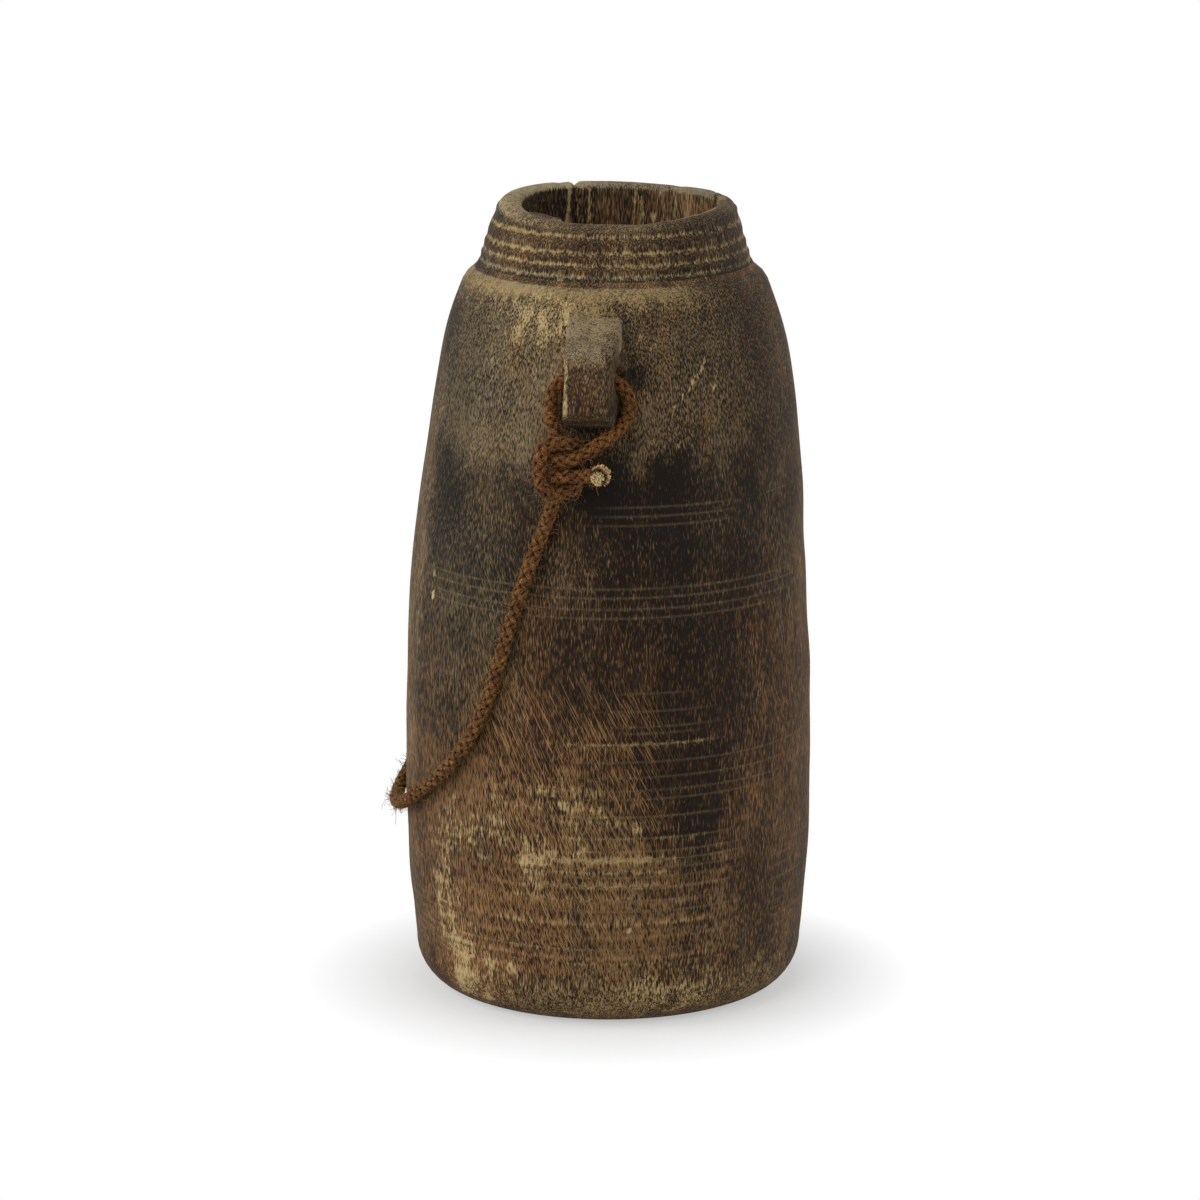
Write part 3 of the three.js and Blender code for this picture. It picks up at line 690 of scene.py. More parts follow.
# The hollow: streaked along the grain, near black on the left and red brown on the right.
streak = hand_waves(spot_angle * 3.0, 0 * spot_z + 11, waves)
streak = streak + 0.6 * hand_waves(spot_angle * 7.0, 0 * spot_z + 3, waves[4:])
dark_side = between(turned_angle(spot_angle + 105), -55, 45, 10)
light_side = between(turned_angle(spot_angle - 120), -40, 40, 15)
inner_tone = 0.52 + 0.3 * streak - 1.65 * dark_side + 0.05 * light_side
tone = np.where(inside, inner_tone, tone)
warm = np.where(inside, 0.35 + 0.6 * between(turned_angle(spot_angle - 110), -60, 40, 20), warm)
pale_streaks = 0 * spot_z
for at_angle, half_wide, strength in (
    (-145.2, 1.2, 0.75), (-153.8, 0.9, 0.5), (-160.3, 0.9, 0.75), (-169, 0.6, 0.4), (176.5, 0.7, 0.5),
    (171.3, 0.9, 0.5), (159, 0.7, 0.4), (149, 0.8, 0.35), (141, 0.8, 0.35), (128, 0.8, 0.3), (107, 1.6, 0.5),
):
    across = turned_angle(spot_angle - at_angle + 1.5 * np.sin(spot_z * 0.11 + at_angle))
    pale_streaks = np.maximum(pale_streaks, strength * between(across, -half_wide, half_wide, 0.9))
cream = np.where(inside, pale_streaks * (spot_z > 320), cream)
cream = np.maximum(cream, 1.1 * inside * patch(spot_angle, spot_z, 164, 347.3, 1.0, 1.2, 0.8, 0.8))
speckle = np.where(inside, 0.6, speckle)
dust = np.where(inside & (spot_z < 356), 0.1, dust)
split = np.exp(-(turned_angle(spot_angle + 150) / 1.2) ** 2)
split = split + np.exp(-(turned_angle(spot_angle - 111.5 - 0.9 * np.maximum(from_axis - 46.5, 0)) / 2.8) ** 2)
split = split * (spot_z > 325) * (from_axis < 57)
tone = tone - 1.8 * split * (inside | (lip_z > 357.5))
chip = between(spot_angle, 96, 108, 2) * (lip_z > 352) * (from_axis < 50)
dust = np.maximum(dust, 0.75 * chip)
broken_flake = between(spot_angle, -48, -29, 1) * (lip_z > 352) * (from_axis < 48.8)
warm = warm + 1.0 * broken_flake
tone = tone + (-0.2 - tone) * broken_flake
cream = cream * (1 - broken_flake)
dust = dust * (1 - 0.8 * broken_flake)

for name, values in (
    ("tone", tone), ("warm", warm), ("speckle", speckle), ("slanted", slanted),
    ("dust", dust), ("cream", cream), ("grooves", grooves),
):
    held = vessel.data.attributes.new(name, "FLOAT", "POINT")
    held.data.foreach_set("value", np.asarray(values, dtype=np.float32))


def add(tree, kind, inputs=(), **settings):
    """Adds one node with its settings, and fills its inputs with values or with links."""
    new = tree.nodes.new(kind)
    for name, value in settings.items():
        setattr(new, name, value)
    for key, value in (inputs if isinstance(inputs, dict) else dict(enumerate(inputs))).items():
        if isinstance(value, bpy.types.Node):
            value = value.outputs[0]
        if isinstance(value, bpy.types.NodeSocket):
            tree.links.new(value, new.inputs[key])
        else:
            new.inputs[key].default_value = value
    return new


def colour(code):
    """A linear colour from an sRGB hex code."""
    parts = [int(code[k:k + 2], 16) / 255 for k in (1, 3, 5)]
    return [c / 12.92 if c <= 0.04045 else ((c + 0.055) / 1.055) ** 2.4 for c in parts] + [1.0]


def new_material(name, levels):
    """A material, its node tree and its shader, with the levels that are the same all over."""
    made = bpy.data.materials.new(name)
    made.use_nodes = True
    shader = made.node_tree.nodes["Principled BSDF"]
    for level, value in levels.items():
        shader.inputs[level].default_value = value
    return made, made.node_tree, shader


def set_shades(ramp, shades):
    """Gives a colour ramp its places and their colours."""
    stops = ramp.color_ramp.elements
    for k, (at, code) in enumerate(shades):
        stop = stops[k] if k < 2 else stops.new(at)
        stop.position = at
        stop.color = colour(code)


# Smoke-darkened hardwood: to the eye it is near black to grey tan with open pores that hold pale
# dust as short dashes along the grain, matt, with a faint sheen where hands have rubbed it. The
# pores of such wood are 0.1 to 0.2 mm wide. That is too fine to show, so they are drawn at 0.44 mm.
# The streaks are its growth rings, the fields are smoke and handling, the crumbs are grains of dirt.
wood, tree, shader = new_material("smoke-darkened hardwood", {"Specular IOR Level": 0.15})
pore_width = 0.44 * mm
streak_width = 4 * mm
field_width = 22 * mm
crumb_width = 1.3 * mm
scratch_twist = 5.2
dots_from = 0.225
dots_to = 0.275
collar_from = 0.332
collar_to = 0.337

held = {
    name: add(tree, "ShaderNodeAttribute", attribute_name=name).outputs["Fac"]
    for name in ("tone", "warm", "speckle", "slanted", "dust", "cream", "grooves")
}
place = add(tree, "ShaderNodeTexCoord").outputs["Object"]
height_on = add(tree, "ShaderNodeSeparateXYZ", (place,)).outputs["Z"]
turn = add(tree, "ShaderNodeMath", (height_on, scratch_twist), operation="MULTIPLY")
leaning = add(tree, "ShaderNodeVectorRotate", {"Vector": place, "Angle": turn}, rotation_type="Z_AXIS")
noises = {}
for name, way, width, stretch, detail, rough in (
    ("pores", place, pore_width, 0.11, 1.0, 0.5),
    ("dots", place, pore_width, 0.18, 1.0, 0.5),
    ("scratches", leaning, pore_width * 1.15, 0.045, 1.0, 0.5),
    ("fibres", place, pore_width * 1.1, 0.035, 1.0, 0.5),
    ("streaks", place, streak_width, 0.09, 5.0, 0.66),
    ("fields", place, field_width, 0.4, 6.0, 0.66),
    ("reds", place, streak_width * 1.8, 0.09, 5.0, 0.7),
    ("crumbs", place, crumb_width, 0.45, 4.0, 0.75),
):
    long = add(tree, "ShaderNodeMapping", {"Vector": way, "Scale": (1, 1, stretch)})
    fill = {"Vector": long, "Scale": 1 / width, "Detail": detail, "Roughness": rough}
    noises[name] = add(tree, "ShaderNodeTexNoise", fill).outputs[0]

dotted = add(tree, "ShaderNodeMapRange", {"Value": height_on, 1: dots_from, 2: dots_to})
on_collar = add(tree, "ShaderNodeMapRange", {"Value": height_on, 1: collar_to, 2: collar_from})
dotted = add(tree, "ShaderNodeMath", (dotted, on_collar), operation="MULTIPLY")
grain = add(tree, "ShaderNodeMix", {0: dotted, 2: noises["pores"], 3: noises["dots"]}).outputs[0]
noises["grain"] = grain
level = add(tree, "ShaderNodeMath", (held["tone"], 0.34, -1.615), operation="MULTIPLY_ADD")
for name, strength in (("fields", 0.8), ("streaks", 0.6), ("crumbs", 0.3), ("grain", 1.35), ("fibres", 0.9)):
    level = add(tree, "ShaderNodeMath", (noises[name], strength, level), operation="MULTIPLY_ADD")
shades = add(tree, "ShaderNodeValToRGB", (level,))
set_shades(shades, [
    (0.0, "#140e08"), (0.25, "#2a1f14"), (0.5, "#463624"), (0.75, "#68543a"), (1.0, "#9f8e6e"),
])
body = shades.outputs[0]
dark_pores = {"Value": grain, 1: 0.43, 2: 0.3, 3: 0.0, 4: 0.5}
dark_pores = add(tree, "ShaderNodeMapRange", dark_pores, interpolation_type="SMOOTHSTEP")
body = add(tree, "ShaderNodeMix", {0: dark_pores, 6: body, 7: colour("#100b07")}, data_type="RGBA").outputs[2]

often = add(tree, "ShaderNodeMath", (held["speckle"], 0.22, grain), operation="MULTIPLY_ADD")
often = add(tree, "ShaderNodeMath", (noises["fields"], 0.3, often), operation="MULTIPLY_ADD")
pale_pores = {"Value": often, 1: 0.74, 2: 1.02, 3: 0.0, 4: 0.8}
pale_pores = add(tree, "ShaderNodeMapRange", pale_pores, interpolation_type="SMOOTHSTEP")
pale_share = add(
    tree, "ShaderNodeMath", (held["tone"], 0.17, noises["crumbs"]), operation="MULTIPLY_ADD", use_clamp=True,
)
pale = {0: pale_share, 6: colour("#54432d"), 7: colour("#b09c74")}
pale = add(tree, "ShaderNodeMix", pale, data_type="RGBA").outputs[2]
body = add(tree, "ShaderNodeMix", {0: pale_pores, 6: body, 7: pale}, data_type="RGBA").outputs[2]

scored = {"Value": noises["scratches"], 1: 0.55, 2: 0.66, 3: 0.0, 4: 0.75}
scored = add(tree, "ShaderNodeMapRange", scored, interpolation_type="SMOOTHSTEP")
scored = add(tree, "ShaderNodeMath", (scored, held["slanted"]), operation="MULTIPLY")
body = add(tree, "ShaderNodeMix", {0: scored, 6: body, 7: colour("#93805c")}, data_type="RGBA").outputs[2]

tint = add(tree, "ShaderNodeMapRange", {"Value": noises["reds"], 1: 0.42, 2: 0.68, 3: 0.0, 4: 0.7})
tint = add(tree, "ShaderNodeMath", (held["warm"], 0.75, tint), operation="MULTIPLY_ADD", use_clamp=True)
red = {0: tint, 6: body, 7: (1.22, 0.9, 0.73, 1)}
body = add(tree, "ShaderNodeMix", red, data_type="RGBA", blend_type="MULTIPLY").outputs[2]

lined = add(tree, "ShaderNodeMath", (grain, noises["streaks"]), operation="ADD")
lined = add(tree, "ShaderNodeMath", (lined, noises["crumbs"], -0.1), operation="MULTIPLY_ADD")
lined = add(tree, "ShaderNodeMath", (held["grooves"], lined), operation="MULTIPLY", use_clamp=True)
body = add(tree, "ShaderNodeMix", {0: lined, 6: body, 7: colour("#94805c")}, data_type="RGBA").outputs[2]

wear = add(tree, "ShaderNodeMath", (noises["crumbs"], 1.2, grain), operation="MULTIPLY_ADD")
wear = add(tree, "ShaderNodeMath", (noises["streaks"], 0.8, wear), operation="MULTIPLY_ADD")
wear = add(tree, "ShaderNodeMath", (wear, 1.6, -2.4), operation="MULTIPLY_ADD")
for mark, code, most, full in (("dust", "#b59a6a", 0.88, 1.3), ("cream", "#c8ae7a", 0.9, 1.0)):
    broken = add(tree, "ShaderNodeMath", (wear, 1.1, held[mark]), operation="MULTIPLY_ADD")
    there = {"Value": broken, 1: 0.15, 2: full, 3: 0.0, 4: most}
    there = add(tree, "ShaderNodeMapRange", there, interpolation_type="SMOOTHSTEP")
    marked = add(tree, "ShaderNodeMath", (held[mark], 5.0), operation="MULTIPLY", use_clamp=True)
    there = add(tree, "ShaderNodeMath", (there, marked), operation="MULTIPLY")
    body = add(tree, "ShaderNodeMix", {0: there, 6: body, 7: colour(code)}, data_type="RGBA").outputs[2]
weathered = add(tree, "ShaderNodeMath", (held["warm"], -1.0), operation="MULTIPLY", use_clamp=True)
grey = {0: weathered, 6: body, 7: (0.94, 1.0, 1.16, 1)}
body = add(tree, "ShaderNodeMix", grey, data_type="RGBA", blend_type="MULTIPLY").outputs[2]
tree.links.new(body, shader.inputs["Base Color"])

rough = add(tree, "ShaderNodeMapRange", {"Value": grain, 1: 0.3, 2: 0.7, 3: 0.62, 4: 0.9})
tree.links.new(rough.outputs[0], shader.inputs["Roughness"])
relief = add(tree, "ShaderNodeMath", (noises["streaks"], 1.2, grain), operation="MULTIPLY_ADD")
relief = add(tree, "ShaderNodeMath", (noises["crumbs"], 0.8, relief), operation="MULTIPLY_ADD")
bump = add(tree, "ShaderNodeBump", {"Height": relief, "Strength": 0.9, "Distance": 0.3 * mm})
tree.links.new(bump.outputs[0], shader.inputs["Normal"])

vessel.data.materials.clear()
vessel.data.materials.append(wood)
vessel.name = "vessel_body"
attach(vessel, "root")
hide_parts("vessel")


# The rope. One limp handle rope of about 6 mm, plaited by hand from eight strands of reddish brown
# plant fibre. It runs from the cut end in front of the lug through both knots and eyes.
rope_length = 1.026

knot_axis_x = -11.5
knot_axis_y = -93.7
knot_middle_z = 259
knot_axis_slope = 0.138
turn_radius = 7
turn_steps = 12


def turn_points(degrees, from_z, to_z):
    """One turn of the rope round its own standing part, in millimetres."""
    points = []
    for step in range(turn_steps + 1):
        share = step / turn_steps
        turned = math.radians(degrees * share)
        z = from_z + (to_z - from_z) * share
        axis_y = knot_axis_y - (knot_middle_z - z) * knot_axis_slope
        x = knot_axis_x + turn_radius * math.sin(turned)
        points.append([x, axis_y - turn_radius * math.cos(turned), z])
    return points


tail_points = [
    [7.4, -108.8, 258.2], [6.0, -105.6, 257.6], [2.6, -103.2, 256.8],
    [-2.2, -102.1, 256.1], [-6.9, -101.9, 255.9],
]
bight_points = [
    [-14.8, -103.9, 248.5], [-17.2, -105.9, 250.7], [-18.6, -106.6, 254.7], [-18.8, -105.9, 259.2],
    [-18.7, -105.2, 264.0], [-17.5, -103.6, 267.9], [-15.0, -101.2, 269.9],
]
leg_points = [
    [-5.2, -101.0, 263.1], [0.6, -99.0, 266.2], [7.4, -93.4, 270.1], [13.6, -87.5, 274.4],
    [17.4, -84.3, 279.8], [18.2, -83.2, 285.6], [16.4, -83.6, 290.8], [12.4, -84.5, 294.7],
    [6.4, -84.8, 296.9], [0, -84.8, 297.3], [-6.4, -84.8, 296.8], [-12.0, -84.4, 294.4],
    [-15.4, -83.4, 290.2], [-16.4, -82.8, 284.8],
]
through_points = [
    [-16.3, -83.6, 279.4], [-15.4, -86.8, 275.4], [-13.2, -90.4, 271.9], [-11.7, -92.4, 267.4],
    [-11.5, -93.6, 259.6], [-11.6, -94.7, 251.8], [-12.9, -95.0, 246.4], [-14.9, -93.2, 241.2],
    [-16.7, -90.6, 236.2], [-18.7, -89.0, 230.4],
]
span_points = [
    [-21.6, -89.0, 223.5], [-25.6, -88.9, 212.5], [-30.4, -88.7, 198.5], [-35.6, -88.0, 181.5],
    [-40.6, -86.6, 164.5], [-45.8, -84.4, 148.5], [-52.2, -81.1, 134.5], [-60.2, -75.7, 121.8],
    [-69.6, -67.3, 110.6], [-79.4, -55.4, 100.4], [-88.4, -39.4, 91.0], [-94.8, -21.6, 85.2],
    [-97.8, -4.0, 83.6], [-97.2, 12.6, 87.4], [-92.6, 29.0, 94.8], [-84.6, 47.0, 104.4],
    [-74.2, 62.2, 115.0], [-63.4, 73.2, 127.0], [-54.0, 80.2, 140.6], [-46.4, 84.4, 156.5],
    [-40.2, 87.0, 173.5], [-34.8, 88.6, 191.0], [-29.6, 89.0, 206.0], [-24.6, 89.0, 218.0],
    [-20.8, 89.0, 227.0],
]
front_hitch = (
    tail_points + turn_points(-360, 255.7, 248.3) + bight_points
    + turn_points(360, 270.1, 262.6) + leg_points + through_points
)
back_hitch = [[x, -y, z] for x, y, z in reversed(front_hitch)]


def smooth_route(points, steps_between=12):
    """A centripetal curve through given points, the same that the solids of the rope follow."""
    points = np.array(points, float)
    ends = np.vstack([2 * points[0] - points[1], points, 2 * points[-1] - points[-2]])
    share = np.linspace(0, 1, steps_between, endpoint=False)[:, None]
    stretches = []
    for i in range(len(points) - 1):
        before, start, stop, after = ends[i:i + 4]
        gap_before = np.linalg.norm(start - before) ** 0.5
        gap = np.linalg.norm(stop - start) ** 0.5
        gap_after = np.linalg.norm(after - stop) ** 0.5
        leave = (start - before) / gap_before - (stop - before) / (gap_before + gap) + (stop - start) / gap
        arrive = (stop - start) / gap - (after - start) / (gap + gap_after) + (after - stop) / gap_after
        leave = leave * gap
        arrive = arrive * gap
        square = 3 * (stop - start) - 2 * leave - arrive
        cube = 2 * (start - stop) + leave + arrive
        stretches.append(start + leave * share + square * share ** 2 + cube * share ** 3)
    stretches.append(points[-1:])
    return np.vstack(stretches)


def even_steps(route, step):
    """The same route with its points at even steps."""
    gone = np.concatenate([[0], np.cumsum(np.linalg.norm(np.diff(route, axis=0), axis=1))])
    places = np.linspace(0, gone[-1], round(gone[-1] / step) + 1)
    return np.column_stack([np.interp(places, gone, route[:, k]) for k in range(3)])


plait_step = 0.7 * mm
rope_route = smooth_route(front_hitch + span_points + back_hitch) * mm
rope_route = even_steps(rope_route, plait_step)


def new_tree(name, sizes):
    """A geometry tree with one geometry input, named sizes and one geometry output."""
    tree = bpy.data.node_groups.new(name, "GeometryNodeTree")
    tree.interface.new_socket("Geometry", in_out="INPUT", socket_type="NodeSocketGeometry")
    for size, value in sizes.items():
        kind = "NodeSocketMaterial" if isinstance(value, bpy.types.Material) else "NodeSocketFloat"
        kind = "NodeSocketInt" if isinstance(value, int) else kind
        tree.interface.new_socket(size, in_out="INPUT", socket_type=kind)
    tree.interface.new_socket("Geometry", in_out="OUTPUT", socket_type="NodeSocketGeometry")
    return tree


def grown(name, start, tree, sizes):
    """Runs the geometry tree on the start data and returns the result as a plain mesh object."""
    seed = placed(name + ".seed", start)
    modifier = seed.modifiers.new("grow", "NODES")
    modifier.node_group = tree
    for socket in tree.interface.items_tree:
        if socket.in_out == "INPUT" and socket.name in sizes:
            modifier[socket.identifier] = sizes[socket.name]
    mesh = evaluated_mesh(seed)
    bpy.data.objects.remove(seed)
    mesh.name = name
    return placed(name, mesh)


# Plaited plant fibre: to the eye it is red brown with golden hairs along the strands, and matt. The
# strands are painted darker where they dip into the gaps between them, as shade. Such fibres are 0.1
# to 0.2 mm thick, too fine to show, and are drawn at 0.5 mm.
fibre, fibre_tree, fibre_shader = new_material(
    "plaited plant fibre", {"Roughness": 0.8, "Specular IOR Level": 0.15},
)
fibre_width = 0.5 * mm
gap_shade_reach = (2.35 * mm, 3.15 * mm)

strand_count = 8
strands_each_way = 4.0
strand_sides = 8
wander_rate = 90.0
yarn_twist = 1500.0
fibre_twist = 900.0
fibre_stretch = 0.16
plait_sizes = {
    "Step": plait_step,
    "Length": rope_length,
    "Lay": 21.0 * mm,
    "Ring": 2.15 * mm,
    "Weave": 0.32 * mm,
    "Strand Height": 0.74 * mm,
    "Strand Width": 1.28 * mm,
    "Flare": 0.75,
    "Flare Reach": 5 * mm,
    "Drift": 14.0,
    "Yarn Depth": 0.07 * mm,
    "Yarns": 2.0,
    "Sides": strand_sides,
    "Material": fibre,
}
plait = new_tree("plait", plait_sizes)
given = add(plait, "NodeGroupInput").outputs
line = {"Curve": given["Geometry"], "Length": given["Step"]}
line = add(plait, "GeometryNodeResampleCurve", line, mode="LENGTH")
strands = add(
    plait, "GeometryNodeDuplicateElements", {"Geometry": line.outputs[0], "Amount": strand_count},
    domain="SPLINE",
)
number = strands.outputs["Duplicate Index"]
along = add(plait, "GeometryNodeSplineParameter").outputs["Length"]
normal = add(plait, "GeometryNodeInputNormal").outputs[0]
tangent = add(plait, "GeometryNodeInputTangent").outputs[0]
side = add(plait, "ShaderNodeVectorMath", (tangent, normal), operation="CROSS_PRODUCT")

# Half of the strands wind to the left and half to the right, and each passes over and under.
half = add(plait, "ShaderNodeMath", (number, strands_each_way), operation="DIVIDE")
half = add(plait, "ShaderNodeMath", (half,), operation="FLOOR")
hand = add(plait, "ShaderNodeMath", (half, -2.0, 1.0), operation="MULTIPLY_ADD")
turn_rate = add(plait, "ShaderNodeMath", (math.tau, given["Lay"]), operation="DIVIDE")
turned = add(plait, "ShaderNodeMath", (along, turn_rate), operation="MULTIPLY")
start_angle = add(plait, "ShaderNodeMath", (number, strands_each_way), operation="MODULO")
start_angle = add(plait, "ShaderNodeMath", (start_angle, math.tau / strands_each_way), operation="MULTIPLY")
drift = add(plait, "ShaderNodeMath", (along, given["Drift"]), operation="MULTIPLY")
angle = add(plait, "ShaderNodeMath", (turned, hand, start_angle), operation="MULTIPLY_ADD")
angle = add(plait, "ShaderNodeMath", (angle, drift), operation="ADD")
wave = add(plait, "ShaderNodeMath", (turned, strands_each_way), operation="MULTIPLY")
wave = add(plait, "ShaderNodeMath", (wave,), operation="COSINE")
wave = add(plait, "ShaderNodeMath", (wave, hand), operation="MULTIPLY")
wander = add(plait, "ShaderNodeMath", (along, wander_rate), operation="MULTIPLY")
wander = add(plait, "ShaderNodeMath", (number, 40.0, wander), operation="MULTIPLY_ADD")
wander = add(plait, "ShaderNodeTexNoise", {"W": wander, "Scale": 1.0}, noise_dimensions="1D").outputs[0]
wander = add(plait, "ShaderNodeMath", (wander, 0.3, 0.85), operation="MULTIPLY_ADD")
reach = add(plait, "ShaderNodeMath", (wave, given["Weave"], given["Ring"]), operation="MULTIPLY_ADD")
reach = add(plait, "ShaderNodeMath", (reach, wander), operation="MULTIPLY")
to_far_end = add(plait, "ShaderNodeMath", (given["Length"], along), operation="SUBTRACT")
to_end = add(plait, "ShaderNodeMath", (along, to_far_end), operation="MINIMUM")
widest = add(plait, "ShaderNodeMath", (given["Flare"], 1.0), operation="ADD")
flare = {"Value": to_end, 1: given["Flare Reach"], 2: 0.0, 3: 1.0, 4: widest}
flare = add(plait, "ShaderNodeMapRange", flare, interpolation_type="SMOOTHSTEP")
reach = add(plait, "ShaderNodeMath", (reach, flare), operation="MULTIPLY")
middle_line = add(plait, "GeometryNodeInputPosition").outputs[0]
cosine = add(plait, "ShaderNodeMath", (angle,), operation="COSINE")
sine = add(plait, "ShaderNodeMath", (angle,), operation="SINE")
across = add(plait, "ShaderNodeVectorMath", {0: normal, "Scale": cosine}, operation="SCALE")
upward = add(plait, "ShaderNodeVectorMath", {0: side, "Scale": sine}, operation="SCALE")
outward = add(plait, "ShaderNodeVectorMath", (across.outputs[0], upward.outputs[0]), operation="ADD")
kept = {}
for name, kind in (
    ("outward", "FLOAT_VECTOR"), ("shift", "FLOAT_VECTOR"), ("middle_line", "FLOAT_VECTOR"),
    ("along", "FLOAT"), ("strand", "FLOAT"), ("around", "FLOAT"),
):
    kept[name] = add(plait, "GeometryNodeInputNamedAttribute", {"Name": name}, data_type=kind).outputs[0]
offset = add(plait, "ShaderNodeVectorMath", {0: kept["outward"], "Scale": reach}, operation="SCALE")
marked = strands.outputs[0]
for name, value, kind in (
    ("outward", outward, "FLOAT_VECTOR"), ("middle_line", middle_line, "FLOAT_VECTOR"),
    ("rope_way", tangent, "FLOAT_VECTOR"), ("along", along, "FLOAT"), ("strand", number, "FLOAT"),
    ("shift", offset, "FLOAT_VECTOR"),
):
    stored = {"Geometry": marked, "Name": name, "Value": value}
    marked = add(plait, "GeometryNodeStoreNamedAttribute", stored, data_type=kind).outputs[0]
wound = add(plait, "GeometryNodeSetPosition", {"Geometry": marked, "Offset": kept["shift"]})
leaning = add(plait, "ShaderNodeVectorMath", (kept["outward"], tangent), operation="PROJECT")
square_out = add(plait, "ShaderNodeVectorMath", (kept["outward"], leaning), operation="SUBTRACT")
square_out = add(plait, "ShaderNodeVectorMath", (square_out,), operation="NORMALIZE")
wound = {"Curve": wound.outputs[0], "Normal": square_out}
wound = add(plait, "GeometryNodeSetCurveNormal", wound, mode="FREE")

# Each strand is a flat oval, rippled by the yarns that it is laid from.
section = {"Resolution": given["Sides"], "Radius": 1.0}
section = add(plait, "GeometryNodeCurvePrimitiveCircle", section, mode="RADIUS")
around = add(plait, "GeometryNodeSplineParameter").outputs["Index"]
section = add(
    plait, "GeometryNodeStoreNamedAttribute",
    {"Geometry": section.outputs[0], "Name": "around", "Value": around}, data_type="FLOAT",
)
flat = add(plait, "ShaderNodeCombineXYZ", (given["Strand Height"], given["Strand Width"], 1.0)).outputs[0]
section = add(plait, "GeometryNodeTransform", {"Geometry": section.outputs[0], "Scale": flat})
skin = add(
    plait, "GeometryNodeCurveToMesh",
    {"Curve": wound.outputs[0], "Profile Curve": section.outputs[0], "Fill Caps": True},
)
around = add(plait, "ShaderNodeMath", (kept["around"], math.tau / strand_sides), operation="MULTIPLY")
yarn_angle = add(plait, "ShaderNodeMath", (around, given["Yarns"]), operation="MULTIPLY")
yarn_angle = add(plait, "ShaderNodeMath", (kept["along"], yarn_twist, yarn_angle), operation="MULTIPLY_ADD")
ripple = add(plait, "ShaderNodeMath", (yarn_angle,), operation="SINE")
ripple = add(plait, "ShaderNodeMath", (ripple, given["Yarn Depth"]), operation="MULTIPLY")
facing = add(plait, "GeometryNodeInputNormal").outputs[0]
ripple = add(plait, "ShaderNodeVectorMath", {0: facing, "Scale": ripple}, operation="SCALE").outputs[0]
skin = add(plait, "GeometryNodeSetPosition", {"Geometry": skin.outputs[0], "Offset": ripple}).outputs[0]

# The fibres of the material follow the strands by lay_place, and lifted tells top from gap for the painted
# shade.
yarn_turn = add(plait, "ShaderNodeMath", (kept["along"], fibre_twist, around), operation="MULTIPLY_ADD")
lay = []
for operation in ("COSINE", "SINE"):
    turned = add(plait, "ShaderNodeMath", (yarn_turn,), operation=operation)
    lay.append(add(plait, "ShaderNodeMath", (turned, given["Strand Width"]), operation="MULTIPLY"))
lay_z = add(plait, "ShaderNodeMath", (kept["along"], fibre_stretch), operation="MULTIPLY")
lay.append(add(plait, "ShaderNodeMath", (kept["strand"], 3.0, lay_z), operation="MULTIPLY_ADD"))
lay_place = add(plait, "ShaderNodeCombineXYZ", lay)
here = add(plait, "GeometryNodeInputPosition").outputs[0]
lifted = add(plait, "ShaderNodeVectorMath", (here, kept["middle_line"]), operation="DISTANCE")
lifted = lifted.outputs["Value"]
for name, value, kind in (("lay_place", lay_place, "FLOAT_VECTOR"), ("lifted", lifted, "FLOAT")):
    stored = {"Geometry": skin, "Name": name, "Value": value}
    skin = add(plait, "GeometryNodeStoreNamedAttribute", stored, data_type=kind).outputs[0]
skin = add(plait, "GeometryNodeSetShadeSmooth", {"Geometry": skin})
skin = add(plait, "GeometryNodeRealizeInstances", {"Geometry": skin.outputs[0]})
skin = add(plait, "GeometryNodeSetMaterial", {"Geometry": skin.outputs[0], "Material": given["Material"]})
add(plait, "NodeGroupOutput", {"Geometry": skin.outputs[0]})

centreline = bpy.data.curves.new("rope_centreline", "CURVE")
centreline.dimensions = "3D"
spline = centreline.splines.new("POLY")
spline.points.add(len(rope_route) - 1)
spline.points.foreach_set("co", np.column_stack([rope_route, np.ones(len(rope_route))]).ravel())
rope = grown("rope", centreline, plait, plait_sizes)
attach(rope, "root")
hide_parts("rope_front_hitch", "rope_span", "rope_back_hitch")

tree = fibre_tree
shader = fibre_shader
hairs = add(tree, "ShaderNodeAttribute", attribute_name="lay_place").outputs["Vector"]
hairs = {"Vector": hairs, "Scale": 1 / fibre_width, "Detail": 3.0, "Roughness": 0.65}
hairs = add(tree, "ShaderNodeTexNoise", hairs).outputs[0]
place = add(tree, "ShaderNodeTexCoord").outputs["Object"]
patchy = add(tree, "ShaderNodeTexNoise", {"Vector": place, "Scale": 1 / (7 * mm), "Detail": 4.0}).outputs[0]
height_on = add(tree, "ShaderNodeSeparateXYZ", (place,)).outputs["Z"]
lifted = add(tree, "ShaderNodeAttribute", attribute_name="lifted").outputs["Fac"]
# Painted shade: the strands darken where they dip into the gaps between them and lighten on their tops.
clear_of_gap_shade = {"Value": lifted, 1: gap_shade_reach[0], 2: gap_shade_reach[1]}
clear_of_gap_shade = add(tree, "ShaderNodeMapRange", clear_of_gap_shade, interpolation_type="SMOOTHSTEP").outputs[0]
level = add(tree, "ShaderNodeMath", (hairs, 2.0, -1.04), operation="MULTIPLY_ADD")
level = add(tree, "ShaderNodeMath", (clear_of_gap_shade, 0.5, level), operation="MULTIPLY_ADD")
level = add(tree, "ShaderNodeMath", (patchy, 0.45, level), operation="MULTIPLY_ADD")
shades = add(tree, "ShaderNodeValToRGB", (level,))
set_shades(shades, [
    (0.0, "#170b04"), (0.3, "#3a2212"), (0.55, "#5c3d22"), (0.78, "#805a33"), (1.0, "#b08950"),
])
redder = add(tree, "ShaderNodeMapRange", {"Value": height_on, 1: 0.16, 2: 0.27, 3: 0.0, 4: 1.0}).outputs[0]
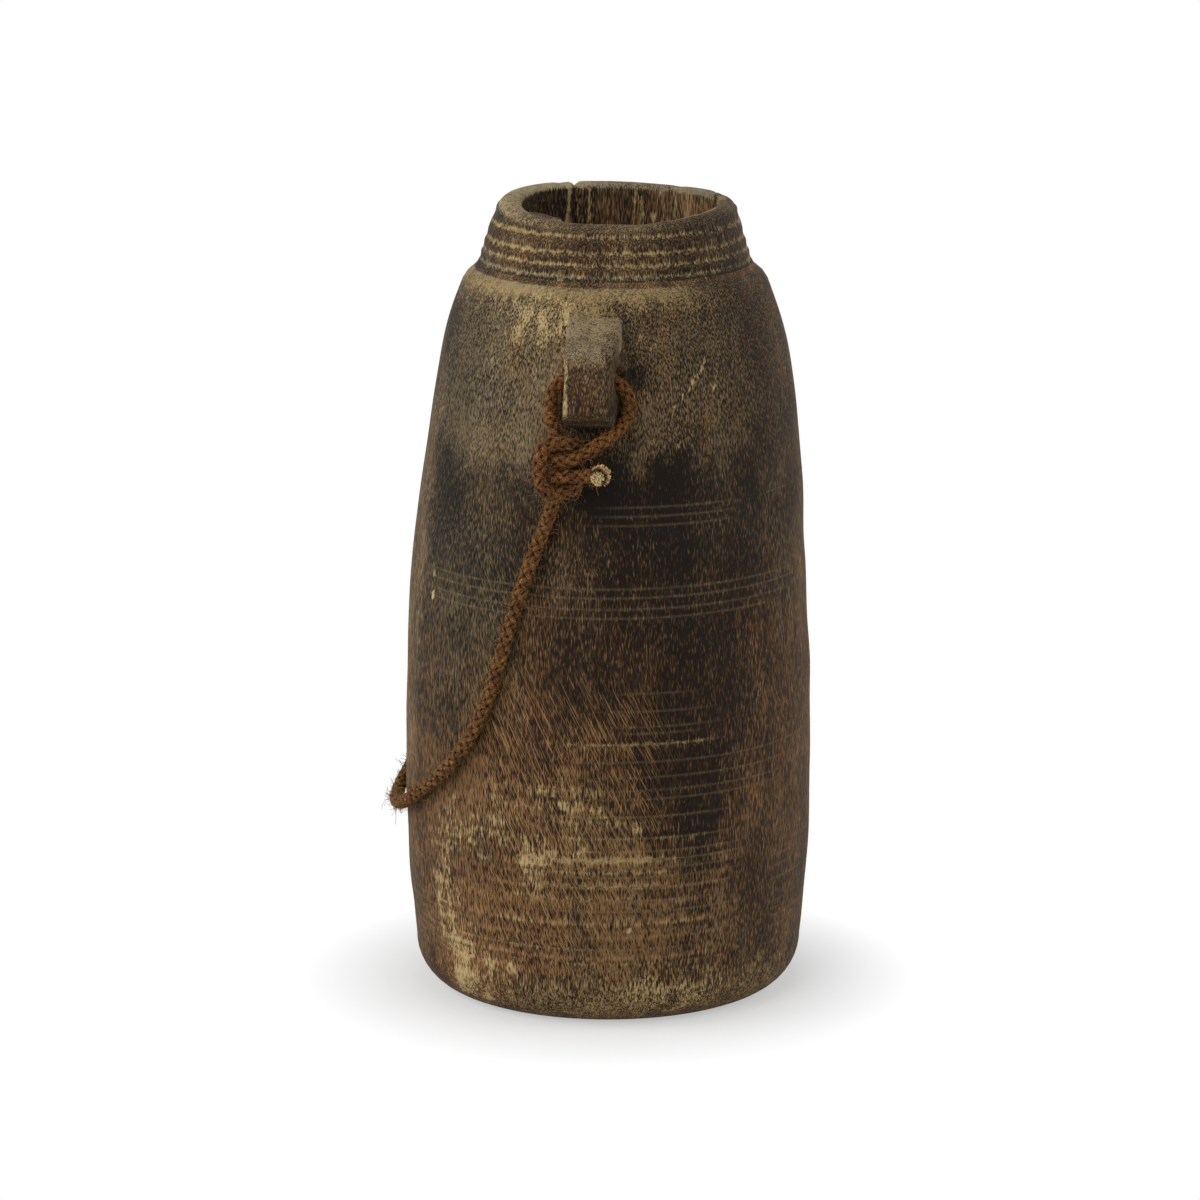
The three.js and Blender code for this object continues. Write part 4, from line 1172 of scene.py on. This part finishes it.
red = {0: redder, 6: shades.outputs[0], 7: (1.0, 0.87, 0.76, 1)}
body = add(tree, "ShaderNodeMix", red, data_type="RGBA", blend_type="MULTIPLY").outputs[2]
tree.links.new(body, shader.inputs["Base Color"])
bump = add(tree, "ShaderNodeBump", {"Height": hairs, "Strength": 1.0, "Distance": 0.3 * mm})
tree.links.new(bump.outputs[0], shader.inputs["Normal"])

# Loose fibres stand out all along the rope, mostly lying with it, and longer ones curl off it. To the
# eye they are dark brown to tan, a little glossier than the plait. Many real ones are under 0.05 mm
# thick, too fine to show, so they are drawn at 0.07 to 0.27 mm.
loose, tree, shader = new_material("loose plant fibre", {"Roughness": 0.7, "Specular IOR Level": 0.2})
place = add(tree, "ShaderNodeTexCoord").outputs["Object"]
mixed = add(tree, "ShaderNodeTexNoise", {"Vector": place, "Scale": 1 / (1.2 * mm), "Detail": 2.0}).outputs[0]
shades = add(tree, "ShaderNodeMapRange", {"Value": mixed, 1: 0.35, 2: 0.65}).outputs[0]
body = {0: shades, 6: colour("#452a18"), 7: colour("#ab8050")}
body = add(tree, "ShaderNodeMix", body, data_type="RGBA").outputs[2]
tree.links.new(body, shader.inputs["Base Color"])

fuzz_sizes = {
    "Density": 150000.0,
    "Least Reach": 2.55 * mm,
    "Hair Length": 3.0 * mm,
    "Hair Radius": 0.075 * mm,
    "Lift Off": 0.55,
    "Seed": 5,
    "Material": loose,
}
fuzz = new_tree("loose_fibres", fuzz_sizes)
given = add(fuzz, "NodeGroupInput").outputs
lifted = add(fuzz, "GeometryNodeInputNamedAttribute", {"Name": "lifted"}, data_type="FLOAT").outputs[0]
outer_skin = add(fuzz, "ShaderNodeMath", (lifted, given["Least Reach"]), operation="GREATER_THAN")
roots = add(
    fuzz, "GeometryNodeDistributePointsOnFaces",
    {"Mesh": given["Geometry"], "Selection": outer_skin, "Density": given["Density"], "Seed": given["Seed"]},
)
rope_way = add(fuzz, "GeometryNodeInputNamedAttribute", {"Name": "rope_way"}, data_type="FLOAT_VECTOR")
rope_way = rope_way.outputs[0]
either = add(fuzz, "FunctionNodeRandomValue", {2: -1.6, 3: 1.6, "Seed": 11}, data_type="FLOAT").outputs[1]
lying = add(fuzz, "ShaderNodeVectorMath", {0: rope_way, "Scale": either}, operation="SCALE")
rising = {0: roots.outputs["Normal"], "Scale": given["Lift Off"]}
rising = add(fuzz, "ShaderNodeVectorMath", rising, operation="SCALE")
astray = {0: (-0.5, -0.5, -0.5), 1: (0.5, 0.5, 0.5), "Seed": 12}
astray = add(fuzz, "FunctionNodeRandomValue", astray, data_type="FLOAT_VECTOR").outputs[0]
lying = add(fuzz, "ShaderNodeVectorMath", (lying.outputs[0], rising.outputs[0]), operation="ADD")
lying = add(fuzz, "ShaderNodeVectorMath", (lying.outputs[0], astray), operation="ADD")
aimed = add(fuzz, "FunctionNodeAlignRotationToVector", {"Vector": lying.outputs[0]}, axis="Z")
spin = add(fuzz, "FunctionNodeRandomValue", {2: 0.0, 3: math.tau, "Seed": 13}, data_type="FLOAT").outputs[1]
spin = add(fuzz, "FunctionNodeEulerToRotation", (add(fuzz, "ShaderNodeCombineXYZ", {2: spin}),))
aimed = {"Rotation": aimed, "Rotate By": spin}
aimed = add(fuzz, "FunctionNodeRotateRotation", aimed, rotation_space="LOCAL")
bend = {
    "Resolution": 5, "Start": (0, 0, -0.05), "Start Handle": (0, 0, 0.45),
    "End Handle": (0.3, 0.0, 0.75), "End": (0.62, 0.0, 0.8),
}
bend = add(fuzz, "GeometryNodeCurvePrimitiveBezierSegment", bend, mode="POSITION")
size = add(fuzz, "ShaderNodeCombineXYZ", (given["Hair Length"], given["Hair Length"], given["Hair Length"]))
bend = add(fuzz, "GeometryNodeTransform", {"Geometry": bend, "Scale": size})
section = {"Resolution": 3, "Radius": given["Hair Radius"]}
section = add(fuzz, "GeometryNodeCurvePrimitiveCircle", section, mode="RADIUS")
hair = add(fuzz, "GeometryNodeCurveToMesh", {"Curve": bend, "Profile Curve": section, "Fill Caps": True})
sizes = add(fuzz, "FunctionNodeRandomValue", {2: 0.45, 3: 1.5, "Seed": 14}, data_type="FLOAT").outputs[1]
grown_hairs = add(
    fuzz, "GeometryNodeInstanceOnPoints",
    {"Points": roots.outputs["Points"], "Instance": hair, "Rotation": aimed, "Scale": sizes},
)
grown_hairs = add(fuzz, "GeometryNodeRealizeInstances", {"Geometry": grown_hairs})
grown_hairs = add(fuzz, "GeometryNodeSetMaterial", {"Geometry": grown_hairs, "Material": given["Material"]})
add(fuzz, "NodeGroupOutput", {"Geometry": grown_hairs})
rope_fuzz = grown("rope_fuzz", rope.data, fuzz, fuzz_sizes)
thread_sizes = fuzz_sizes | {
    "Density": 5200.0, "Hair Length": 8 * mm, "Hair Radius": 0.09 * mm, "Lift Off": 0.9, "Seed": 9,
}
rope_threads = grown("rope_threads", rope.data, fuzz, thread_sizes)

# At each cut end the strands spread, and their pale inner fibres show as a brush of short stubs. To
# the eye the cut is pale straw in the middle, ringed with dark brown, and matt.
pith, tree, shader = new_material("cut plant fibre", {"Roughness": 0.85, "Specular IOR Level": 0.15})
place = add(tree, "ShaderNodeTexCoord").outputs["Object"]
mixed = add(tree, "ShaderNodeTexNoise", {"Vector": place, "Scale": 1 / (1.5 * mm), "Detail": 3.0}).outputs[0]
rim_share = add(tree, "ShaderNodeAttribute", attribute_name="rim_share").outputs["Fac"]
spread = add(tree, "ShaderNodeMath", (mixed, 0.36, -0.18), operation="MULTIPLY_ADD")
spread = add(tree, "ShaderNodeMath", (rim_share, spread), operation="ADD")
shades = add(tree, "ShaderNodeValToRGB", (spread,))
set_shades(shades, [
    (0.0, "#ffefc0"), (0.42, "#ecd09a"), (0.52, "#3c2412"), (0.62, "#4a2e18"), (0.72, "#e0c28a"),
])
tree.links.new(shades.outputs[0], shader.inputs["Base Color"])

golden_angle = 2.39996
tuft_sizes = {
    "Count": 190,
    "Tuft Radius": 4.0 * mm,
    "Stub Length": 5.0 * mm,
    "Stub Radius": 0.27 * mm,
    "Fan": 0.4,
    "Seed": 3,
    "Material": pith,
}
tuft = new_tree("cut_end", tuft_sizes)
given = add(tuft, "NodeGroupInput").outputs
number = add(tuft, "GeometryNodeInputIndex").outputs[0]
share = add(tuft, "ShaderNodeMath", (number, given["Count"]), operation="DIVIDE")
share = add(tuft, "ShaderNodeMath", (share,), operation="SQRT").outputs[0]
turned = add(tuft, "ShaderNodeMath", (number, golden_angle), operation="MULTIPLY")
sides = []
fans = []
for operation in ("COSINE", "SINE"):
    side = add(tuft, "ShaderNodeMath", (turned,), operation=operation)
    side = add(tuft, "ShaderNodeMath", (side, share), operation="MULTIPLY")
    sides.append(side)
    fans.append(add(tuft, "ShaderNodeMath", (side, given["Fan"]), operation="MULTIPLY"))
deep = {2: -0.3, 3: 0.16, "Seed": given["Seed"]}
deep = add(tuft, "FunctionNodeRandomValue", deep, data_type="FLOAT").outputs[1]
spot = add(tuft, "ShaderNodeCombineXYZ", (*sides, deep))
spot = add(tuft, "ShaderNodeVectorMath", {0: spot, "Scale": given["Tuft Radius"]}, operation="SCALE")
dots = add(tuft, "GeometryNodePoints", {"Count": given["Count"], "Position": spot})
flat_spot = add(tuft, "ShaderNodeCombineXYZ", (*sides, 0.0))
pale_middle = (-0.34, -0.26, 0.0)
from_core = add(tuft, "ShaderNodeVectorMath", (flat_spot, pale_middle), operation="DISTANCE").outputs["Value"]
from_core = add(tuft, "ShaderNodeMath", (from_core, 0.7), operation="MULTIPLY")
dots = {"Geometry": dots, "Name": "rim_share", "Value": from_core}
dots = add(tuft, "GeometryNodeStoreNamedAttribute", dots, data_type="FLOAT")
fan = add(tuft, "ShaderNodeCombineXYZ", (*fans, 1.0))
jog = {0: (-0.14, -0.14, 0), 1: (0.14, 0.14, 0), "Seed": 8}
jog = add(tuft, "FunctionNodeRandomValue", jog, data_type="FLOAT_VECTOR").outputs[0]
fan = add(tuft, "ShaderNodeVectorMath", (fan, jog), operation="ADD")
aimed = add(tuft, "FunctionNodeAlignRotationToVector", {"Vector": fan.outputs[0]}, axis="Z")
stub = {"Vertices": 5, "Radius": given["Stub Radius"], "Depth": given["Stub Length"]}
stub = add(tuft, "GeometryNodeMeshCylinder", stub).outputs["Mesh"]
grown_stubs = {"Points": dots, "Instance": stub, "Rotation": aimed}
grown_stubs = add(tuft, "GeometryNodeInstanceOnPoints", grown_stubs)
grown_stubs = add(tuft, "GeometryNodeRealizeInstances", {"Geometry": grown_stubs})
grown_stubs = add(tuft, "GeometryNodeSetMaterial", {"Geometry": grown_stubs, "Material": given["Material"]})
add(tuft, "NodeGroupOutput", {"Geometry": grown_stubs})
on_rope = [rope_fuzz, rope_threads]
for name, end, inner in (
    ("cut_end_front", rope_route[0], rope_route[5]), ("cut_end_back", rope_route[-1], rope_route[-6]),
):
    piece = grown(name, bpy.data.meshes.new("start"), tuft, tuft_sizes)
    turn = mathutils.Vector(end - inner).to_track_quat("Z", "Y").to_matrix().to_4x4()
    piece.data.transform(mathutils.Matrix.Translation(end) @ turn)
    on_rope.append(piece)
for piece in on_rope:
    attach(piece, "root")


# The studio. A plain pale floor that runs out of sight, and large soft lamps at both sides and in
# front, at a level where a colour shows about as it is written.
floor_size = 40.0
floor_mesh = bpy.data.meshes.new("floor")
corner = floor_size / 2
corners = [(-corner, -corner, 0), (corner, -corner, 0), (corner, corner, 0), (-corner, corner, 0)]
floor_mesh.from_pydata(corners, [], [(0, 1, 2, 3)])
floor = placed("floor", floor_mesh)


def seen_as_white(tree):
    """1 for the rays of the camera, of gloss and of glass, which meet plain white."""
    rays = add(tree, "ShaderNodeLightPath").outputs
    seen = add(tree, "ShaderNodeMath", (rays["Is Camera Ray"], rays["Is Glossy Ray"]), operation="MAXIMUM")
    return add(tree, "ShaderNodeMath", (seen, rays["Is Transmission Ray"]), operation="MAXIMUM")


# Matt white paper: to the eye a plain white that keeps the soft shadow round the foot.
paper = bpy.data.materials.new("matt white paper")
paper.use_nodes = True
tree = paper.node_tree
tree.nodes.clear()
place = add(tree, "ShaderNodeTexCoord").outputs["Object"]
away = add(tree, "ShaderNodeVectorMath", {0: place}, operation="LENGTH").outputs["Value"]
faded = add(tree, "ShaderNodeMapRange", {"Value": away, 1: 0.085, 2: 0.14, 3: 0.45, 4: 1.0}).outputs[0]
share = add(tree, "ShaderNodeMath", (seen_as_white(tree), faded), operation="MULTIPLY")
matt = add(tree, "ShaderNodeBsdfDiffuse", {"Color": colour("#f4f4f2")})
glow = add(tree, "ShaderNodeEmission", {"Color": (1, 1, 1, 1), "Strength": 1.0})
mixed = add(tree, "ShaderNodeMixShader", {0: share, 1: matt.outputs[0], 2: glow.outputs[0]})
add(tree, "ShaderNodeOutputMaterial", {"Surface": mixed.outputs[0]})
floor_mesh.materials.append(paper)

world = bpy.data.worlds.new("white room")
bpy.context.scene.world = world
world.use_nodes = True
tree = world.node_tree
tree.nodes.clear()
fill = add(tree, "ShaderNodeBackground", {"Color": (1, 1, 1, 1), "Strength": 0.3})
white = add(tree, "ShaderNodeBackground", {"Color": (1, 1, 1, 1), "Strength": 1.0})
mixed = add(tree, "ShaderNodeMixShader", {0: seen_as_white(tree), 1: fill.outputs[0], 2: white.outputs[0]})
add(tree, "ShaderNodeOutputWorld", {"Surface": mixed.outputs[0]})

aim = np.array([0, 0, 0.18])
lamps = {
    "lamp_left": ((-1.5, -0.45, 0.9), 0.9, 1.5, 13.0),
    "lamp_right": ((1.5, -0.1, 0.8), 0.9, 1.5, 7.5),
    "lamp_front": ((-0.9, -1.9, 1.5), 1.2, 1.2, 14.0),
}
for name, (place, wide, tall, power) in lamps.items():
    lamp = bpy.data.lights.new(name, "AREA")
    lamp.shape = "RECTANGLE"
    lamp.size = wide
    lamp.size_y = tall
    lamp.energy = power
    holder = placed(name, lamp)
    holder.location = place
    way = aim - np.array(place)
    holder.rotation_euler = (
        math.acos(-way[2] / np.linalg.norm(way)), 0, math.atan2(-way[0], way[1]),
    )

# The camera. It stands 2.34 m off, 6 degrees to the right of the front lug and 0.72 m above the
# floor. It looks down 13 degrees and aims a little to the left of the pot's middle.
camera_distance = 2.340
camera_side = math.radians(6)
camera_height = 0.720
camera_drop = math.radians(13.05)
pixels_off_centre = 8.5
focal_pixels = 5252.9
off_centre = math.atan(pixels_off_centre / focal_pixels)
camera = bpy.data.cameras.new("camera")
camera.sensor_width = 36
camera.lens = 157.587
camera_holder = placed("camera", camera)
camera_holder.location = (
    camera_distance * math.sin(camera_side), -camera_distance * math.cos(camera_side), camera_height,
)
camera_holder.rotation_euler = (math.pi / 2 - camera_drop, 0, camera_side + off_centre)
bpy.context.scene.camera = camera_holder
bpy.context.scene.view_settings.view_transform = "Standard"
